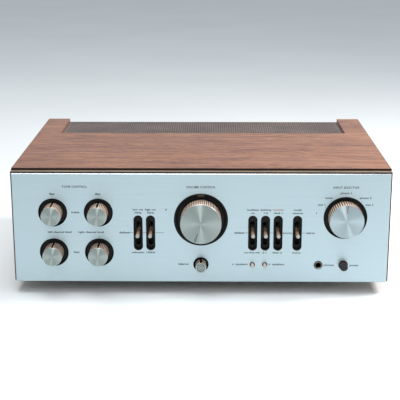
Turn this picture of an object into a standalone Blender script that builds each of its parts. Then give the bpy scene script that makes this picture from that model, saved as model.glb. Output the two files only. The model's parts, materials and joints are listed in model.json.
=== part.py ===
"""Integrated stereo amplifier, built as an assembly of separate named pieces.

Units are metres. +X is to the right seen from the front, +Y to the rear and +Z up.
The origin is at the bottom centre of the whole box, so the feet stand on Z = 0.

Places on the front are given as (x, z): x from the middle of the faceplate, z above its bottom edge.
Depths are distances behind the faceplate's front face, and negative in front of it.
"""

import math

import bmesh
import bpy
from mathutils import Matrix, Vector

# ---------------------------------------------------------------- driving dimensions

MM = 0.001
GAP = 0.3 * MM  # clearance between pieces that touch
SPARE = 1 * MM  # how far a cutter or a buried end passes the surface it crosses

PANEL_WIDTH = 435.5 * MM
PANEL_HEIGHT = 131.05 * MM
PANEL_THICKNESS = 3 * MM
PANEL_CHAMFER = 0.6 * MM
STANDOFF = 2 * MM  # shadow gap between the faceplate and the metal surround behind it
FOOT_HEIGHT = 15 * MM  # floor to the faceplate's bottom edge

CASE_WIDTH = 440 * MM
CASE_DEPTH = 292 * MM
CASE_SETBACK = 12.9 * MM  # the case's front edge behind the faceplate's front face
CASE_RISE = 3.4 * MM  # the case's top above the faceplate's top edge
BOARD = 12 * MM  # thickness of the wooden boards
BOARD_EDGE = 0.8 * MM
NOTCH_HALF_WIDTH = 190 * MM
NOTCH_DEPTH = 97 * MM

FRAME_WALL = 4 * MM
FRAME_BEVEL = 0.4 * MM
FRAME_RISE = 0.9 * MM  # the frame's top above the faceplate's
FRAME_DROP = 0.7 * MM  # the frame's bottom below the faceplate's
BOSS_RADIUS = 3.5 * MM
BOSS_PLACES = [(x * MM, z * MM) for x in (-205, -40, 135, 205) for z in (9, 123)]
SHEET = 1.2 * MM  # thickness of the steel sheets
GRILLE_DROP = 3.7 * MM  # the vent's surface below the case's top
VENT_COLUMNS = 22
VENT_ROWS = 2
VENT_SLOT = 3 * MM
VENT_BRIDGE = 6 * MM  # sheet left between two rows of slots
VENT_LIP = 4 * MM  # how far the vent's lip hangs over the rear panel
TRAY_FLANGE = 20 * MM
TRAY_SHORTER = 2 * MM  # the tray ends this far inside the case's rear edge
TRAY_SLOTS = 12
TRAY_SLOT = (3 * MM, 60 * MM)  # width and length
TRAY_SLOT_PITCH = 14 * MM
TRAY_SLOT_DEPTHS = (110 * MM, 200 * MM)
FOOT_TOP_RADIUS = 16 * MM
FOOT_RADIUS = 19 * MM
FOOT_RIM = 2.5 * MM  # height of the widest part
FOOT_BASE_RADIUS = 16.5 * MM
FOOT_SIDE = 170 * MM  # feet's centres, from the middle
FOOT_FRONT = 68 * MM  # depth of the front feet's centres
FOOT_REAR_INSET = 40 * MM
REAR_INSET = 6 * MM  # the rear panel's outer face inside the case's rear edge

KNOB_REACH = 18.5 * MM  # the longest knobs, in front of the faceplate
REAR_REACH = 8 * MM  # the longest rear terminals, behind the case
SHAFT_RADIUS = 3 * MM

TOTAL_DEPTH = KNOB_REACH + CASE_SETBACK + CASE_DEPTH + REAR_REACH
FACE_Y = KNOB_REACH - TOTAL_DEPTH / 2
CASE_TOP = FOOT_HEIGHT + PANEL_HEIGHT + CASE_RISE
CASE_FRONT = CASE_SETBACK
CASE_REAR = CASE_SETBACK + CASE_DEPTH
SUBPANEL_FRONT = PANEL_THICKNESS + STANDOFF + GAP
SUBPANEL_REAR = SUBPANEL_FRONT + SHEET
REAR_FACE = CASE_REAR - REAR_INSET
TRAY_FLOOR = FOOT_HEIGHT + SHEET

# ---------------------------------------------------------------- controls on the front

TONE_WELL_RADIUS = 16.9 * MM
TONE_KNOBS = {
    "treble_left": (-171.7 * MM, 84.5 * MM),
    "treble_right": (-118.8 * MM, 84.5 * MM),
    "bass_left": (-171.7 * MM, 36.2 * MM),
    "bass_right": (-118.8 * MM, 36.2 * MM),
}
TONE_KNOB_RADIUS = 11.2 * MM

VOLUME_PLACE = (0.0, 76.2 * MM)
VOLUME_WELL_RADIUS = 31.4 * MM
VOLUME_KNOB_RADIUS = 23.6 * MM
BEZEL_STEPS = (1.8 * MM, 4.2 * MM, 6.2 * MM)  # inward from the well's wall
BEZEL_DEPTHS = (1 * MM, 2.6 * MM, 4 * MM)  # behind the faceplate's front face
VOLUME_REST_TURN = math.radians(-161.4)  # pointer at the minimum, counter-clockwise from the top

BALANCE_PLACE = (0.0, 21.5 * MM)
BALANCE_WELL_RADIUS = 9 * MM
BALANCE_KNOB_RADIUS = 6.2 * MM
BALANCE_REACH = 12.7 * MM

SELECTOR_PLACE = (167 * MM, 78.7 * MM)
SELECTOR_WELL_RADIUS = 25.25 * MM
SELECTOR_KNOB_RADIUS = 19.8 * MM
SELECTOR_REACH = 16.1 * MM

KNOB_REAR = 2.5 * MM  # depth of the knobs' rear faces
KNOB_EDGE = 0.5 * MM
GROOVE_WIDTH = 1.4 * MM  # the painted groove along the side of a small knob
GROOVE_DEPTH = 0.9 * MM
BALANCE_GROOVE_WIDTH = 2.2 * MM
POINTER_WIDTH = 2.5 * MM  # the milled pointer in the face of a large knob
POINTER_DEPTH = 0.5 * MM
VOLUME_POINTER = (11.4 * MM, 22 * MM)  # inner and outer end, from the knob's axis
SELECTOR_POINTER = (9.4 * MM, 19.1 * MM)
SHAFT_IN_KNOB = 8 * MM  # how far in front of the faceplate the shafts end
SHAFT_REAR = 20 * MM
BORE_RADIUS = SHAFT_RADIUS + GAP
BUSHING_RADIUS = 4.5 * MM  # of a potentiometer or rotary switch, through the sub-panel
CAN_FRONT = SUBPANEL_REAR + 4 * MM  # front face of its round can

CIRCUIT_BOARD = 1.6 * MM
VOLUME_POT_RADIUS = 14 * MM
VOLUME_POT_REAR = 40 * MM
BALANCE_POT_RADIUS = 8 * MM
BALANCE_POT_REAR = 26 * MM
SELECTOR_CAN_RADIUS = 12 * MM
SELECTOR_CAN_REAR = 25 * MM
WAFER_RADIUS = 16 * MM
WAFER_THICKNESS = 2 * MM
WAFER_DEPTHS = (32 * MM, 42 * MM)
WAFER_ROD_RADIUS = 5 * MM
TONE_POT_RADIUS = 9 * MM
TONE_BOARD_FRONT = 26 * MM
TONE_BOARD_MARGIN = 13 * MM

LEVER_X = {
    "low_cut": -73 * MM,
    "high_cut": -58.5 * MM,
    "loudness": 60.15 * MM,
    "dubbing": 74.8 * MM,
    "monitor": 89.5 * MM,
    "mode": 111.85 * MM,
}
LEVER_Z = 60 * MM
LEVER_REACH = 13.5 * MM
LEVER_TIP_RADIUS = 2.25 * MM
LEVER_TIP_EDGE = 0.6 * MM
LEVER_TIP_LENGTH = 2 * MM
LEVER_RADIUS = 2 * MM
COLLAR_RADIUS = 2.5 * MM
COLLAR_FRONT = 13.5 * MM  # depths of the collar on the lever
COLLAR_REAR = 16 * MM
LEVER_PIVOT = 26 * MM
LEVER_TAIL = 30 * MM
SLOT_RADIUS = 5.3 * MM
SLOT_HALF_LENGTH = 21.3 * MM
INNER_SLOT_RADIUS = 3 * MM
INNER_SLOT_HALF_LENGTH = 16 * MM
BANK_FRONT = 20 * MM
BANK_REAR = 48 * MM
BANK_HALF_WIDTH = 6.5 * MM
BANK_HALF_HEIGHT = 18 * MM
CAVITY_CLEARANCE = 0.8 * MM
CAVITY_HALF_HEIGHT = 8 * MM

SPEAKER_BUTTONS = {
    "speaker_a": (60.15 * MM, 21.55 * MM),
    "speaker_b": (74.7 * MM, 21.55 * MM),
}
SPEAKER_HOLE_RADIUS = 3.1 * MM
SPEAKER_PIN_RADIUS = 1.85 * MM
SPEAKER_REACH = 8.5 * MM
SPEAKER_SHOULDER = 8 * MM
SPEAKER_TAIL = 22 * MM
SPEAKER_STEM_RADIUS = 1.45 * MM
SPEAKER_BANK = (14 * MM, 44 * MM)  # front and rear depth of the speaker switches
SPEAKER_BANK_MARGIN = 6 * MM
BUTTON_EDGE = 0.4 * MM

JACK_PLACE = (137.2 * MM, 21.1 * MM)
JACK_NOSE_RADIUS = 4.4 * MM
JACK_BORE_RADIUS = 3.2 * MM
JACK_BODY_RADIUS = 7 * MM
JACK_REACH = 0.8 * MM
JACK_EDGE = 0.4 * MM
JACK_DEPTH = 34 * MM

POWER_PLACE = (166.4 * MM, 21.3 * MM)
POWER_HOLE_RADIUS = 5.55 * MM
POWER_BUTTON_RADIUS = 4.6 * MM
POWER_REACH = 9.25 * MM
POWER_SHOULDER = 9 * MM
POWER_STEM_RADIUS = 2.5 * MM
POWER_TAIL = 24 * MM
POWER_SWITCH = (20 * MM, 18 * MM)  # width and height
POWER_SWITCH_DEPTHS = (15 * MM, 55 * MM)

# ---------------------------------------------------------------- rear connectors and insides

BLOCK_INSIDE = 14 * MM  # how far the connectors reach inwards from the rear panel's outer face
BLOCK_OUTSIDE = 2 * MM  # and outwards
OUTLET_OUTSIDE = 4 * MM
BURIED = 3 * MM  # a post's length inside its block
INPUT_RADIUS = 4.2 * MM
INPUT_REACH = 11 * MM
TERMINAL_RADIUS = 4 * MM
TERMINAL_REACH = 7 * MM
BLADE_SPACING = 12.6 * MM
BLADE_SLOT = (2 * MM, 16 * MM, 8 * MM)
CAP_TAPER = 1 * MM
REAR_ROW_Z = 58 * MM  # middle height of the connector blocks, above the faceplate's bottom edge
JACK_ROWS = 2
JACK_COLUMNS = 8
JACK_PITCH = 18 * MM
JACK_ROW_PITCH = 22 * MM
INPUT_MIDDLE = -110 * MM
INPUT_BLOCK = (JACK_COLUMNS * JACK_PITCH, 44 * MM)  # width and height
SPEAKER_MIDDLE = 55 * MM
SPEAKER_BLOCK = (110 * MM, 40 * MM)
SPEAKER_ROWS = 2
SPEAKER_COLUMNS = 4
SPEAKER_PITCH = 26 * MM
SPEAKER_ROW_PITCH = 20 * MM
OUTLET_MIDDLE = 132 * MM
OUTLET_BLOCK = (34 * MM, 76 * MM)
OUTLET_PITCH = 24 * MM
FUSE_PLACE = (182 * MM, 78 * MM)
FUSE_RADIUS = 6 * MM
FUSE_CAP_RADIUS = 8 * MM
FUSE_REACH = 12 * MM
GLAND_PLACE = (182 * MM, 38 * MM)
GLAND_RADIUS = 7.5 * MM
GLAND_CAP_RADIUS = 9.5 * MM
CORD_HOLE_RADIUS = 3.7 * MM
GROUND_PLACE = (-192 * MM, 58 * MM)
GROUND_RADIUS = 2 * MM
GROUND_CAP_RADIUS = 5 * MM
GROUND_REACH = 10 * MM

TRANSFORMER_MIDDLE = (-125 * MM, 120 * MM)  # (x, depth)
CORE_LEG = 17 * MM
CORE_WINDOW = 52 * MM
CORE_STACK = 46 * MM
CORE_RAISE = 2 * MM  # brackets hold the core off the tray

CAPACITOR_RADIUS = 20 * MM
CAPACITOR_HEIGHT = 78 * MM
CAPACITOR_RIM = 1.5 * MM
CAPACITOR_X = {"left": -22 * MM, "right": 24 * MM}
CAPACITOR_DEPTH = 118 * MM

FINS = 14
FIN = 2.5 * MM  # thickness of a fin
SINK_HALF_WIDTH = 95 * MM
SINK_DEPTHS = (214 * MM, 250 * MM)
SINK_BACK = 5 * MM  # thickness of the wall that the fins stand on
SINK_RAISE = 12 * MM
SINK_HEIGHT = 80 * MM

BOARD_RAISE = 6 * MM
# (x from, x to, depth from, depth to) of the two upright-component boards
PREAMP_BOARD = (60 * MM, 190 * MM, 75 * MM, 195 * MM)
POWER_AMP_BOARD = (-95 * MM, 50 * MM, 165 * MM, 208 * MM)
BOARD_CANS = 4

# ---------------------------------------------------------------- collections and materials


def clear_scene():
    for obj in list(bpy.data.objects):
        bpy.data.objects.remove(obj)


def new_collection(name, hidden=False):
    made = bpy.data.collections.new(name)
    made.hide_render = hidden
    bpy.context.scene.collection.children.link(made)
    return made


def new_material(name, color, roughness, metallic=0.0):
    made = bpy.data.materials.new(name)
    made.use_nodes = True
    shader = made.node_tree.nodes["Principled BSDF"]
    shader.inputs["Base Color"].default_value = (*color, 1.0)
    shader.inputs["Roughness"].default_value = roughness
    shader.inputs["Metallic"].default_value = metallic
    return made


clear_scene()
PARTS = new_collection("integrated_amplifier")
CUTTERS = new_collection("cutters", hidden=True)

SILVER = new_material("brushed_aluminium", (0.72, 0.76, 0.78), 0.35, 1.0)
SPUN = new_material("spun_aluminium", (0.70, 0.70, 0.68), 0.25, 1.0)
BRONZE = new_material("bronze_frame", (0.30, 0.24, 0.19), 0.4, 0.9)
BLACK = new_material("black_steel", (0.012, 0.012, 0.013), 0.5)
PLASTIC = new_material("black_plastic", (0.02, 0.02, 0.022), 0.4)
WALNUT = new_material("walnut_veneer", (0.26, 0.10, 0.055), 0.42)
VENT = new_material("vent_steel", (0.10, 0.09, 0.085), 0.5, 0.5)
STEEL = new_material("zinc_steel", (0.55, 0.55, 0.53), 0.35, 1.0)
RUBBER = new_material("foot_rubber", (0.02, 0.02, 0.02), 0.8)
COPPER = new_material("winding_tape", (0.45, 0.22, 0.06), 0.5)
CIRCUIT_TAN = new_material("circuit_board", (0.28, 0.20, 0.08), 0.5)
SLEEVE = new_material("capacitor_sleeve", (0.02, 0.04, 0.12), 0.35)

# ---------------------------------------------------------------- shape helpers


def place(spot, depth=0.0):
    """The world point at a place (x, z) on the front, at a depth behind the faceplate's front face."""
    return Vector((spot[0], FACE_Y + depth, FOOT_HEIGHT + spot[1]))


def add_object(name, mesh, material=None, location=(0, 0, 0), cutter=False):
    obj = bpy.data.objects.new(name, mesh)
    obj.location = location
    if cutter:
        CUTTERS.objects.link(obj)
        obj.hide_render = True
        obj.display_type = "WIRE"
    else:
        PARTS.objects.link(obj)
    if material and not mesh.materials:
        mesh.materials.append(material)
    return obj


def mesh_from(name, form):
    mesh = bpy.data.meshes.new(name)
    form.to_mesh(mesh)
    form.free()
    return mesh


def box_mesh(name, size):
    form = bmesh.new()
    bmesh.ops.create_cube(form, size=1.0)
    bmesh.ops.scale(form, vec=size, verts=form.verts)
    return mesh_from(name, form)


def add_box(name, low, high, material=None, cutter=False):
    """A box between two corners (x, depth, z above the floor)."""
    low = Vector(low)
    high = Vector(high)
    middle = (low + high) / 2
    middle.y += FACE_Y
    return add_object(name, box_mesh(name, high - low), material, middle, cutter)


def add_bevel(obj, width, segments=1):
    bevel = obj.modifiers.new("edge", "BEVEL")
    bevel.width = width
    bevel.segments = segments
    bevel.limit_method = "ANGLE"


def boolean(obj, other, operation):
    modifier = obj.modifiers.new(other.name, "BOOLEAN")
    modifier.operation = operation
    modifier.object = other
    modifier.solver = "EXACT"


def cut(obj, cutter):
    boolean(obj, cutter, "DIFFERENCE")


def join(obj, other):
    boolean(obj, other, "UNION")


def turned_mesh(name, profile, closed=False):
    """The line that a Screw modifier turns round Z: points (radius, height), outer side top to bottom."""
    form = bmesh.new()
    corners = [form.verts.new((radius, 0.0, height)) for radius, height in profile]
    for first, second in zip(corners, corners[1:]):
        form.edges.new((first, second))
    if closed:
        form.edges.new((corners[-1], corners[0]))
    return mesh_from(name, form)


def add_screw(obj, steps):
    screw = obj.modifiers.new("turn", "SCREW")
    screw.steps = steps
    screw.render_steps = steps
    screw.use_merge_vertices = True
    screw.merge_threshold = 0.00001
    screw.use_smooth_shade = True


def add_turned(name, profile, spot, material=None, steps=24, closed=False, cutter=False, mesh=None):
    """A turned piece on an axis that runs front to back. A profile's heights are in front of the faceplate."""
    mesh = mesh or turned_mesh(name, profile, closed)
    obj = add_object(name, mesh, material, place(spot), cutter)
    obj.rotation_euler = (math.radians(90), 0, 0)
    add_screw(obj, steps)
    return obj


def add_upright(name, profile, x, depth, floor, material=None, steps=24, cutter=False, mesh=None):
    """A turned piece that stands upright, with the profile's heights above its own floor."""
    mesh = mesh or turned_mesh(name, profile)
    obj = add_object(name, mesh, material, (x, FACE_Y + depth, floor), cutter)
    add_screw(obj, steps)
    return obj


def peg(radius, front, rear):
    """The profile of a plain pin between two depths."""
    return [(0, -front), (radius, -front), (radius, -rear), (0, -rear)]


class HolePattern:
    """Round holes and upright slots through a sheet, gathered in one cutter."""

    def __init__(self, name, front, rear):
        self.name = name
        self.front = front
        self.rear = rear
        self.form = bmesh.new()

    def slot(self, spot, radius, half_length, segments=24):
        turn = Matrix.Rotation(math.radians(90), 4, "X") @ Matrix.Rotation(math.pi / segments, 4, "Z")
        middle = place(spot, (self.front + self.rear) / 2)
        made = bmesh.ops.create_cone(
            self.form,
            cap_ends=True,
            segments=segments,
            radius1=radius,
            radius2=radius,
            depth=self.rear - self.front,
            matrix=Matrix.Translation(middle) @ turn,
        )
        stretch = half_length - radius
        for corner in made["verts"]:
            corner.co.z += math.copysign(stretch, corner.co.z - middle.z)

    def round(self, spot, radius, segments=24):
        self.slot(spot, radius, radius, segments)

    def cut_from(self, obj):
        cutter = add_object(self.name, mesh_from(self.name, self.form), cutter=True)
        cut(obj, cutter)


# ---------------------------------------------------------------- front: faceplate, frame, sub-panel


def make_faceplate():
    low = (-PANEL_WIDTH / 2, 0, FOOT_HEIGHT)
    high = (PANEL_WIDTH / 2, PANEL_THICKNESS, FOOT_HEIGHT + PANEL_HEIGHT)
    faceplate = add_box("faceplate", low, high, SILVER)
    add_bevel(faceplate, PANEL_CHAMFER)
    holes = HolePattern("faceplate_holes", -PANEL_THICKNESS, 2 * PANEL_THICKNESS)
    for spot in TONE_KNOBS.values():
        holes.round(spot, TONE_WELL_RADIUS, 32)
    holes.round(VOLUME_PLACE, VOLUME_WELL_RADIUS, 48)
    holes.round(BALANCE_PLACE, BALANCE_WELL_RADIUS, 24)
    holes.round(SELECTOR_PLACE, SELECTOR_WELL_RADIUS, 40)
    for x in LEVER_X.values():
        holes.slot((x, LEVER_Z), SLOT_RADIUS, SLOT_HALF_LENGTH, 16)
    for spot in SPEAKER_BUTTONS.values():
        holes.round(spot, SPEAKER_HOLE_RADIUS, 16)
    holes.round(JACK_PLACE, JACK_NOSE_RADIUS + GAP, 24)
    holes.round(POWER_PLACE, POWER_HOLE_RADIUS, 20)
    holes.cut_from(faceplate)


def make_front_frame():
    """The metal surround between the faceplate and the wooden case."""
    half = CASE_WIDTH / 2
    bottom = FOOT_HEIGHT - FRAME_DROP
    top = FOOT_HEIGHT + PANEL_HEIGHT + FRAME_RISE
    front = SUBPANEL_FRONT
    rear = CASE_FRONT - GAP
    frame = add_box("front_frame", (-half, front, bottom), (half, rear, top), BRONZE)
    add_bevel(frame, FRAME_BEVEL)
    inner = half - FRAME_WALL
    low = (-inner, front - SPARE, bottom + FRAME_WALL)
    high = (inner, rear + SPARE, top - FRAME_WALL)
    cut(frame, add_box("frame_window", low, high, cutter=True))


def make_front_subpanel():
    """The black sheet behind the faceplate, which closes the wells and carries the controls."""
    half = CASE_WIDTH / 2 - FRAME_WALL - GAP
    bottom = FOOT_HEIGHT - FRAME_DROP + FRAME_WALL + GAP
    top = FOOT_HEIGHT + PANEL_HEIGHT + FRAME_RISE - FRAME_WALL - GAP
    panel = add_box("front_subpanel", (-half, SUBPANEL_FRONT, bottom), (half, SUBPANEL_REAR, top), BLACK)
    boss = turned_mesh("panel_boss", peg(BOSS_RADIUS, PANEL_THICKNESS + GAP, SUBPANEL_FRONT + SHEET / 2))
    for number, spot in enumerate(BOSS_PLACES):
        join(panel, add_turned(f"panel_boss_{number}", None, spot, steps=12, cutter=True, mesh=boss))
    holes = HolePattern("subpanel_holes", 0, SUBPANEL_REAR + PANEL_THICKNESS)
    for spot in (*TONE_KNOBS.values(), BALANCE_PLACE, VOLUME_PLACE, SELECTOR_PLACE):
        holes.round(spot, BUSHING_RADIUS + GAP, 16)
    for x in LEVER_X.values():
        holes.slot((x, LEVER_Z), INNER_SLOT_RADIUS, INNER_SLOT_HALF_LENGTH, 12)
    for spot in SPEAKER_BUTTONS.values():
        holes.round(spot, SPEAKER_PIN_RADIUS + 2 * GAP, 12)
    holes.round(JACK_PLACE, JACK_NOSE_RADIUS + GAP, 24)
    holes.round(POWER_PLACE, POWER_BUTTON_RADIUS + 2 * GAP, 20)
    holes.cut_from(panel)


# ---------------------------------------------------------------- rotary controls


def knob_profile(radius, reach):
    """A solid knob with a blind bore for its shaft in the rear face."""
    bore_end = SHAFT_IN_KNOB + GAP
    return [
        (0, reach),
        (radius - KNOB_EDGE, reach),
        (radius, reach - KNOB_EDGE),
        (radius, -KNOB_REAR),
        (BORE_RADIUS, -KNOB_REAR),
        (BORE_RADIUS, bore_end),
        (0, bore_end),
    ]


def make_pointer(name, knob, spot, low, high, turn=0.0):
    """A pointer groove cut in a knob at 12 o'clock, then turned clockwise with the knob."""
    size = Vector(high) - Vector(low)
    middle = (Vector(low) + Vector(high)) / 2
    groove = add_object(name, box_mesh(name, size), cutter=True)
    groove.matrix_world = (
        Matrix.Translation(place(spot)) @ Matrix.Rotation(turn, 4, "Y") @ Matrix.Translation(middle)
    )
    cut(knob, groove)


def pot_profile(radius, rear):
    """A potentiometer or rotary switch: bushing through the sub-panel, round can, blind shaft bore."""
    bore_end = SHAFT_REAR + GAP
    bushing_front = SUBPANEL_FRONT - GAP
    return [
        (0, -bore_end),
        (BORE_RADIUS, -bore_end),
        (BORE_RADIUS, -bushing_front),
        (BUSHING_RADIUS, -bushing_front),
        (BUSHING_RADIUS, -CAN_FRONT),
        (radius, -CAN_FRONT),
        (radius, -rear),
        (0, -rear),
    ]


def make_shaft(name, spot):
    add_turned(name, peg(SHAFT_RADIUS, -SHAFT_IN_KNOB, SHAFT_REAR), spot, STEEL, 16)


def make_tone_controls():
    """Four knobs and shafts, and the board that carries their four potentiometers."""
    knob_mesh = turned_mesh("tone_knob", knob_profile(TONE_KNOB_RADIUS, KNOB_REACH))
    pot_mesh = turned_mesh("tone_pot", pot_profile(TONE_POT_RADIUS, TONE_BOARD_FRONT + SPARE))
    spots = TONE_KNOBS.values()
    low_x = min(x for x, z in spots) - TONE_BOARD_MARGIN
    high_x = max(x for x, z in spots) + TONE_BOARD_MARGIN
    low_z = min(z for x, z in spots) - TONE_BOARD_MARGIN + FOOT_HEIGHT
    high_z = max(z for x, z in spots) + TONE_BOARD_MARGIN + FOOT_HEIGHT
    board = add_box(
        "tone_control_board",
        (low_x, TONE_BOARD_FRONT, low_z),
        (high_x, TONE_BOARD_FRONT + CIRCUIT_BOARD, high_z),
        CIRCUIT_TAN,
    )
    for side, spot in TONE_KNOBS.items():
        knob = add_turned(f"{side}_knob", None, spot, SPUN, 32, mesh=knob_mesh)
        low = (-GROOVE_WIDTH / 2, -KNOB_REACH + SPARE, TONE_KNOB_RADIUS - GROOVE_DEPTH)
        high = (GROOVE_WIDTH / 2, KNOB_REAR + SPARE, TONE_KNOB_RADIUS + SPARE)
        make_pointer(f"{side}_groove", knob, spot, low, high)
        make_shaft(f"{side}_shaft", spot)
        join(board, add_turned(f"{side}_pot", None, spot, steps=16, cutter=True, mesh=pot_mesh))


def make_volume_control():
    knob = add_turned(
        "volume_knob", knob_profile(VOLUME_KNOB_RADIUS, KNOB_REACH), VOLUME_PLACE, SPUN, 48
    )
    low = (-POINTER_WIDTH / 2, -KNOB_REACH - SPARE, VOLUME_POINTER[0])
    high = (POINTER_WIDTH / 2, -KNOB_REACH + POINTER_DEPTH, VOLUME_POINTER[1])
    make_pointer("volume_pointer", knob, VOLUME_PLACE, low, high, VOLUME_REST_TURN)
    make_shaft("volume_shaft", VOLUME_PLACE)
    profile = pot_profile(VOLUME_POT_RADIUS, VOLUME_POT_REAR)
    add_turned("volume_pot", profile, VOLUME_PLACE, STEEL, 24)


def make_volume_bezel():
    """The black stepped ring round the volume knob."""
    outer = VOLUME_WELL_RADIUS - GAP
    rear = SUBPANEL_FRONT - GAP
    edge, middle, inner = (outer - step for step in BEZEL_STEPS)
    front, second, last = (-depth for depth in BEZEL_DEPTHS)
    profile = [
        (edge, front),
        (outer, front),
        (outer, -rear),
        (inner, -rear),
        (inner, last),
        (middle, last),
        (middle, second),
        (edge, second),
    ]
    add_turned("volume_bezel", profile, VOLUME_PLACE, PLASTIC, 48, closed=True)


def make_balance_control():
    profile = knob_profile(BALANCE_KNOB_RADIUS, BALANCE_REACH)
    knob = add_turned("balance_knob", profile, BALANCE_PLACE, SPUN, 24)
    low = (-BALANCE_GROOVE_WIDTH / 2, -BALANCE_REACH + SPARE, BALANCE_KNOB_RADIUS - GROOVE_DEPTH)
    high = (BALANCE_GROOVE_WIDTH / 2, KNOB_REAR + SPARE, BALANCE_KNOB_RADIUS + SPARE)
    make_pointer("balance_groove", knob, BALANCE_PLACE, low, high)
    make_shaft("balance_shaft", BALANCE_PLACE)
    profile = pot_profile(BALANCE_POT_RADIUS, BALANCE_POT_REAR)
    add_turned("balance_pot", profile, BALANCE_PLACE, STEEL, 20)


def make_selector():
    """The input selector: knob, shaft and a rotary switch with two wafers."""
    profile = knob_profile(SELECTOR_KNOB_RADIUS, SELECTOR_REACH)
    knob = add_turned("selector_knob", profile, SELECTOR_PLACE, SPUN, 40)
    low = (-POINTER_WIDTH / 2, -SELECTOR_REACH - SPARE, SELECTOR_POINTER[0])
    high = (POINTER_WIDTH / 2, -SELECTOR_REACH + POINTER_DEPTH, SELECTOR_POINTER[1])
    make_pointer("selector_pointer", knob, SELECTOR_PLACE, low, high)
    make_shaft("selector_shaft", SELECTOR_PLACE)
    body = pot_profile(SELECTOR_CAN_RADIUS, SELECTOR_CAN_REAR)[:-1]
    for depth in WAFER_DEPTHS:
        body.append((WAFER_ROD_RADIUS, body[-1][1]))
        body.append((WAFER_ROD_RADIUS, -depth))
        body.append((WAFER_RADIUS, -depth))
        body.append((WAFER_RADIUS, -depth - WAFER_THICKNESS))
    body.append((0, body[-1][1]))
    add_turned("selector_switch", body, SELECTOR_PLACE, STEEL, 20)


# ---------------------------------------------------------------- levers and their switches


def make_levers():
    """Six toggle levers, each with its origin on its pivot."""
    root = LEVER_RADIUS
    profile = [
        (0, LEVER_REACH),
        (LEVER_TIP_RADIUS - LEVER_TIP_EDGE, LEVER_REACH),
        (LEVER_TIP_RADIUS, LEVER_REACH - LEVER_TIP_EDGE),
        (LEVER_TIP_RADIUS, LEVER_REACH - LEVER_TIP_LENGTH),
        (root, 0),
        (root, -COLLAR_FRONT),
        (COLLAR_RADIUS, -COLLAR_FRONT),
        (COLLAR_RADIUS, -COLLAR_REAR),
        (root, -COLLAR_REAR),
        (root, -LEVER_TAIL),
        (0, -LEVER_TAIL),
    ]
    shifted = [(radius, height + LEVER_PIVOT) for radius, height in profile]
    mesh = turned_mesh("lever", shifted)
    for name, x in LEVER_X.items():
        lever = add_turned(f"{name}_lever", None, (x, LEVER_Z), SPUN, 12, mesh=mesh)
        lever.location = place((x, LEVER_Z), LEVER_PIVOT)


def make_switch_bank(name, levers):
    """A switch body behind one or more levers, with a cavity that each lever's tail swings in."""
    xs = [LEVER_X[lever] for lever in levers]
    middle = FOOT_HEIGHT + LEVER_Z
    low = (min(xs) - BANK_HALF_WIDTH, BANK_FRONT, middle - BANK_HALF_HEIGHT)
    high = (max(xs) + BANK_HALF_WIDTH, BANK_REAR, middle + BANK_HALF_HEIGHT)
    bank = add_box(name, low, high, STEEL)
    for lever, x in zip(levers, xs):
        side = LEVER_RADIUS + CAVITY_CLEARANCE
        low = (x - side, BANK_FRONT - SPARE, middle - CAVITY_HALF_HEIGHT)
        high = (x + side, LEVER_TAIL + 3 * SPARE, middle + CAVITY_HALF_HEIGHT)
        cut(bank, add_box(f"{lever}_cavity", low, high, cutter=True))


# ---------------------------------------------------------------- push buttons and headphone jack


def button_profile(radius, reach, shoulder, stem, tail):
    """A push button: round head to a shoulder, then a thinner stem."""
    return [
        (0, reach),
        (radius - BUTTON_EDGE, reach),
        (radius, reach - BUTTON_EDGE),
        (radius, -shoulder),
        (stem, -shoulder),
        (stem, -tail),
        (0, -tail),
    ]


def make_speaker_buttons():
    pin = SPEAKER_PIN_RADIUS
    profile = button_profile(pin, SPEAKER_REACH, SPEAKER_SHOULDER, SPEAKER_STEM_RADIUS, SPEAKER_TAIL)
    mesh = turned_mesh("speaker_pin", profile)
    xs = [x for x, z in SPEAKER_BUTTONS.values()]
    z = SPEAKER_BUTTONS["speaker_a"][1] + FOOT_HEIGHT
    front, rear = SPEAKER_BANK
    low = (min(xs) - SPEAKER_BANK_MARGIN, front, z - SPEAKER_BANK_MARGIN)
    high = (max(xs) + SPEAKER_BANK_MARGIN, rear, z + SPEAKER_BANK_MARGIN)
    bank = add_box("speaker_switch_bank", low, high, STEEL)
    for name, spot in SPEAKER_BUTTONS.items():
        add_turned(f"{name}_button", None, spot, SPUN, 16, mesh=mesh)
        bore = peg(pin, front - SPARE, SPEAKER_TAIL + 4 * SPARE)
        cut(bank, add_turned(f"{name}_bore", bore, spot, steps=16, cutter=True))


def make_power_switch():
    stem = POWER_STEM_RADIUS
    profile = button_profile(POWER_BUTTON_RADIUS, POWER_REACH, POWER_SHOULDER, stem, POWER_TAIL)
    add_turned("power_button", profile, POWER_PLACE, PLASTIC, 20)
    x, z = POWER_PLACE
    z += FOOT_HEIGHT
    width, height = POWER_SWITCH
    front, rear = POWER_SWITCH_DEPTHS
    low = (x - width / 2, front, z - height / 2)
    high = (x + width / 2, rear, z + height / 2)
    body = add_box("power_switch", low, high, PLASTIC)
    bore = peg(stem + GAP, front - SPARE, POWER_TAIL + 6 * SPARE)
    cut(body, add_turned("power_bore", bore, POWER_PLACE, steps=20, cutter=True))


def make_headphone_jack():
    flange = -SUBPANEL_REAR - SPARE
    bore_end = -JACK_DEPTH + 2 * SPARE
    profile = [
        (0, bore_end),
        (JACK_BORE_RADIUS, bore_end),
        (JACK_BORE_RADIUS, JACK_REACH - JACK_EDGE),
        (JACK_BORE_RADIUS + JACK_EDGE, JACK_REACH),
        (JACK_NOSE_RADIUS - JACK_EDGE, JACK_REACH),
        (JACK_NOSE_RADIUS, JACK_REACH - JACK_EDGE),
        (JACK_NOSE_RADIUS, flange),
        (JACK_BODY_RADIUS, flange),
        (JACK_BODY_RADIUS, -JACK_DEPTH),
        (0, -JACK_DEPTH),
    ]
    add_turned("headphone_jack", profile, JACK_PLACE, STEEL, 20)


# ---------------------------------------------------------------- wooden case, vent, chassis, feet


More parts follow.
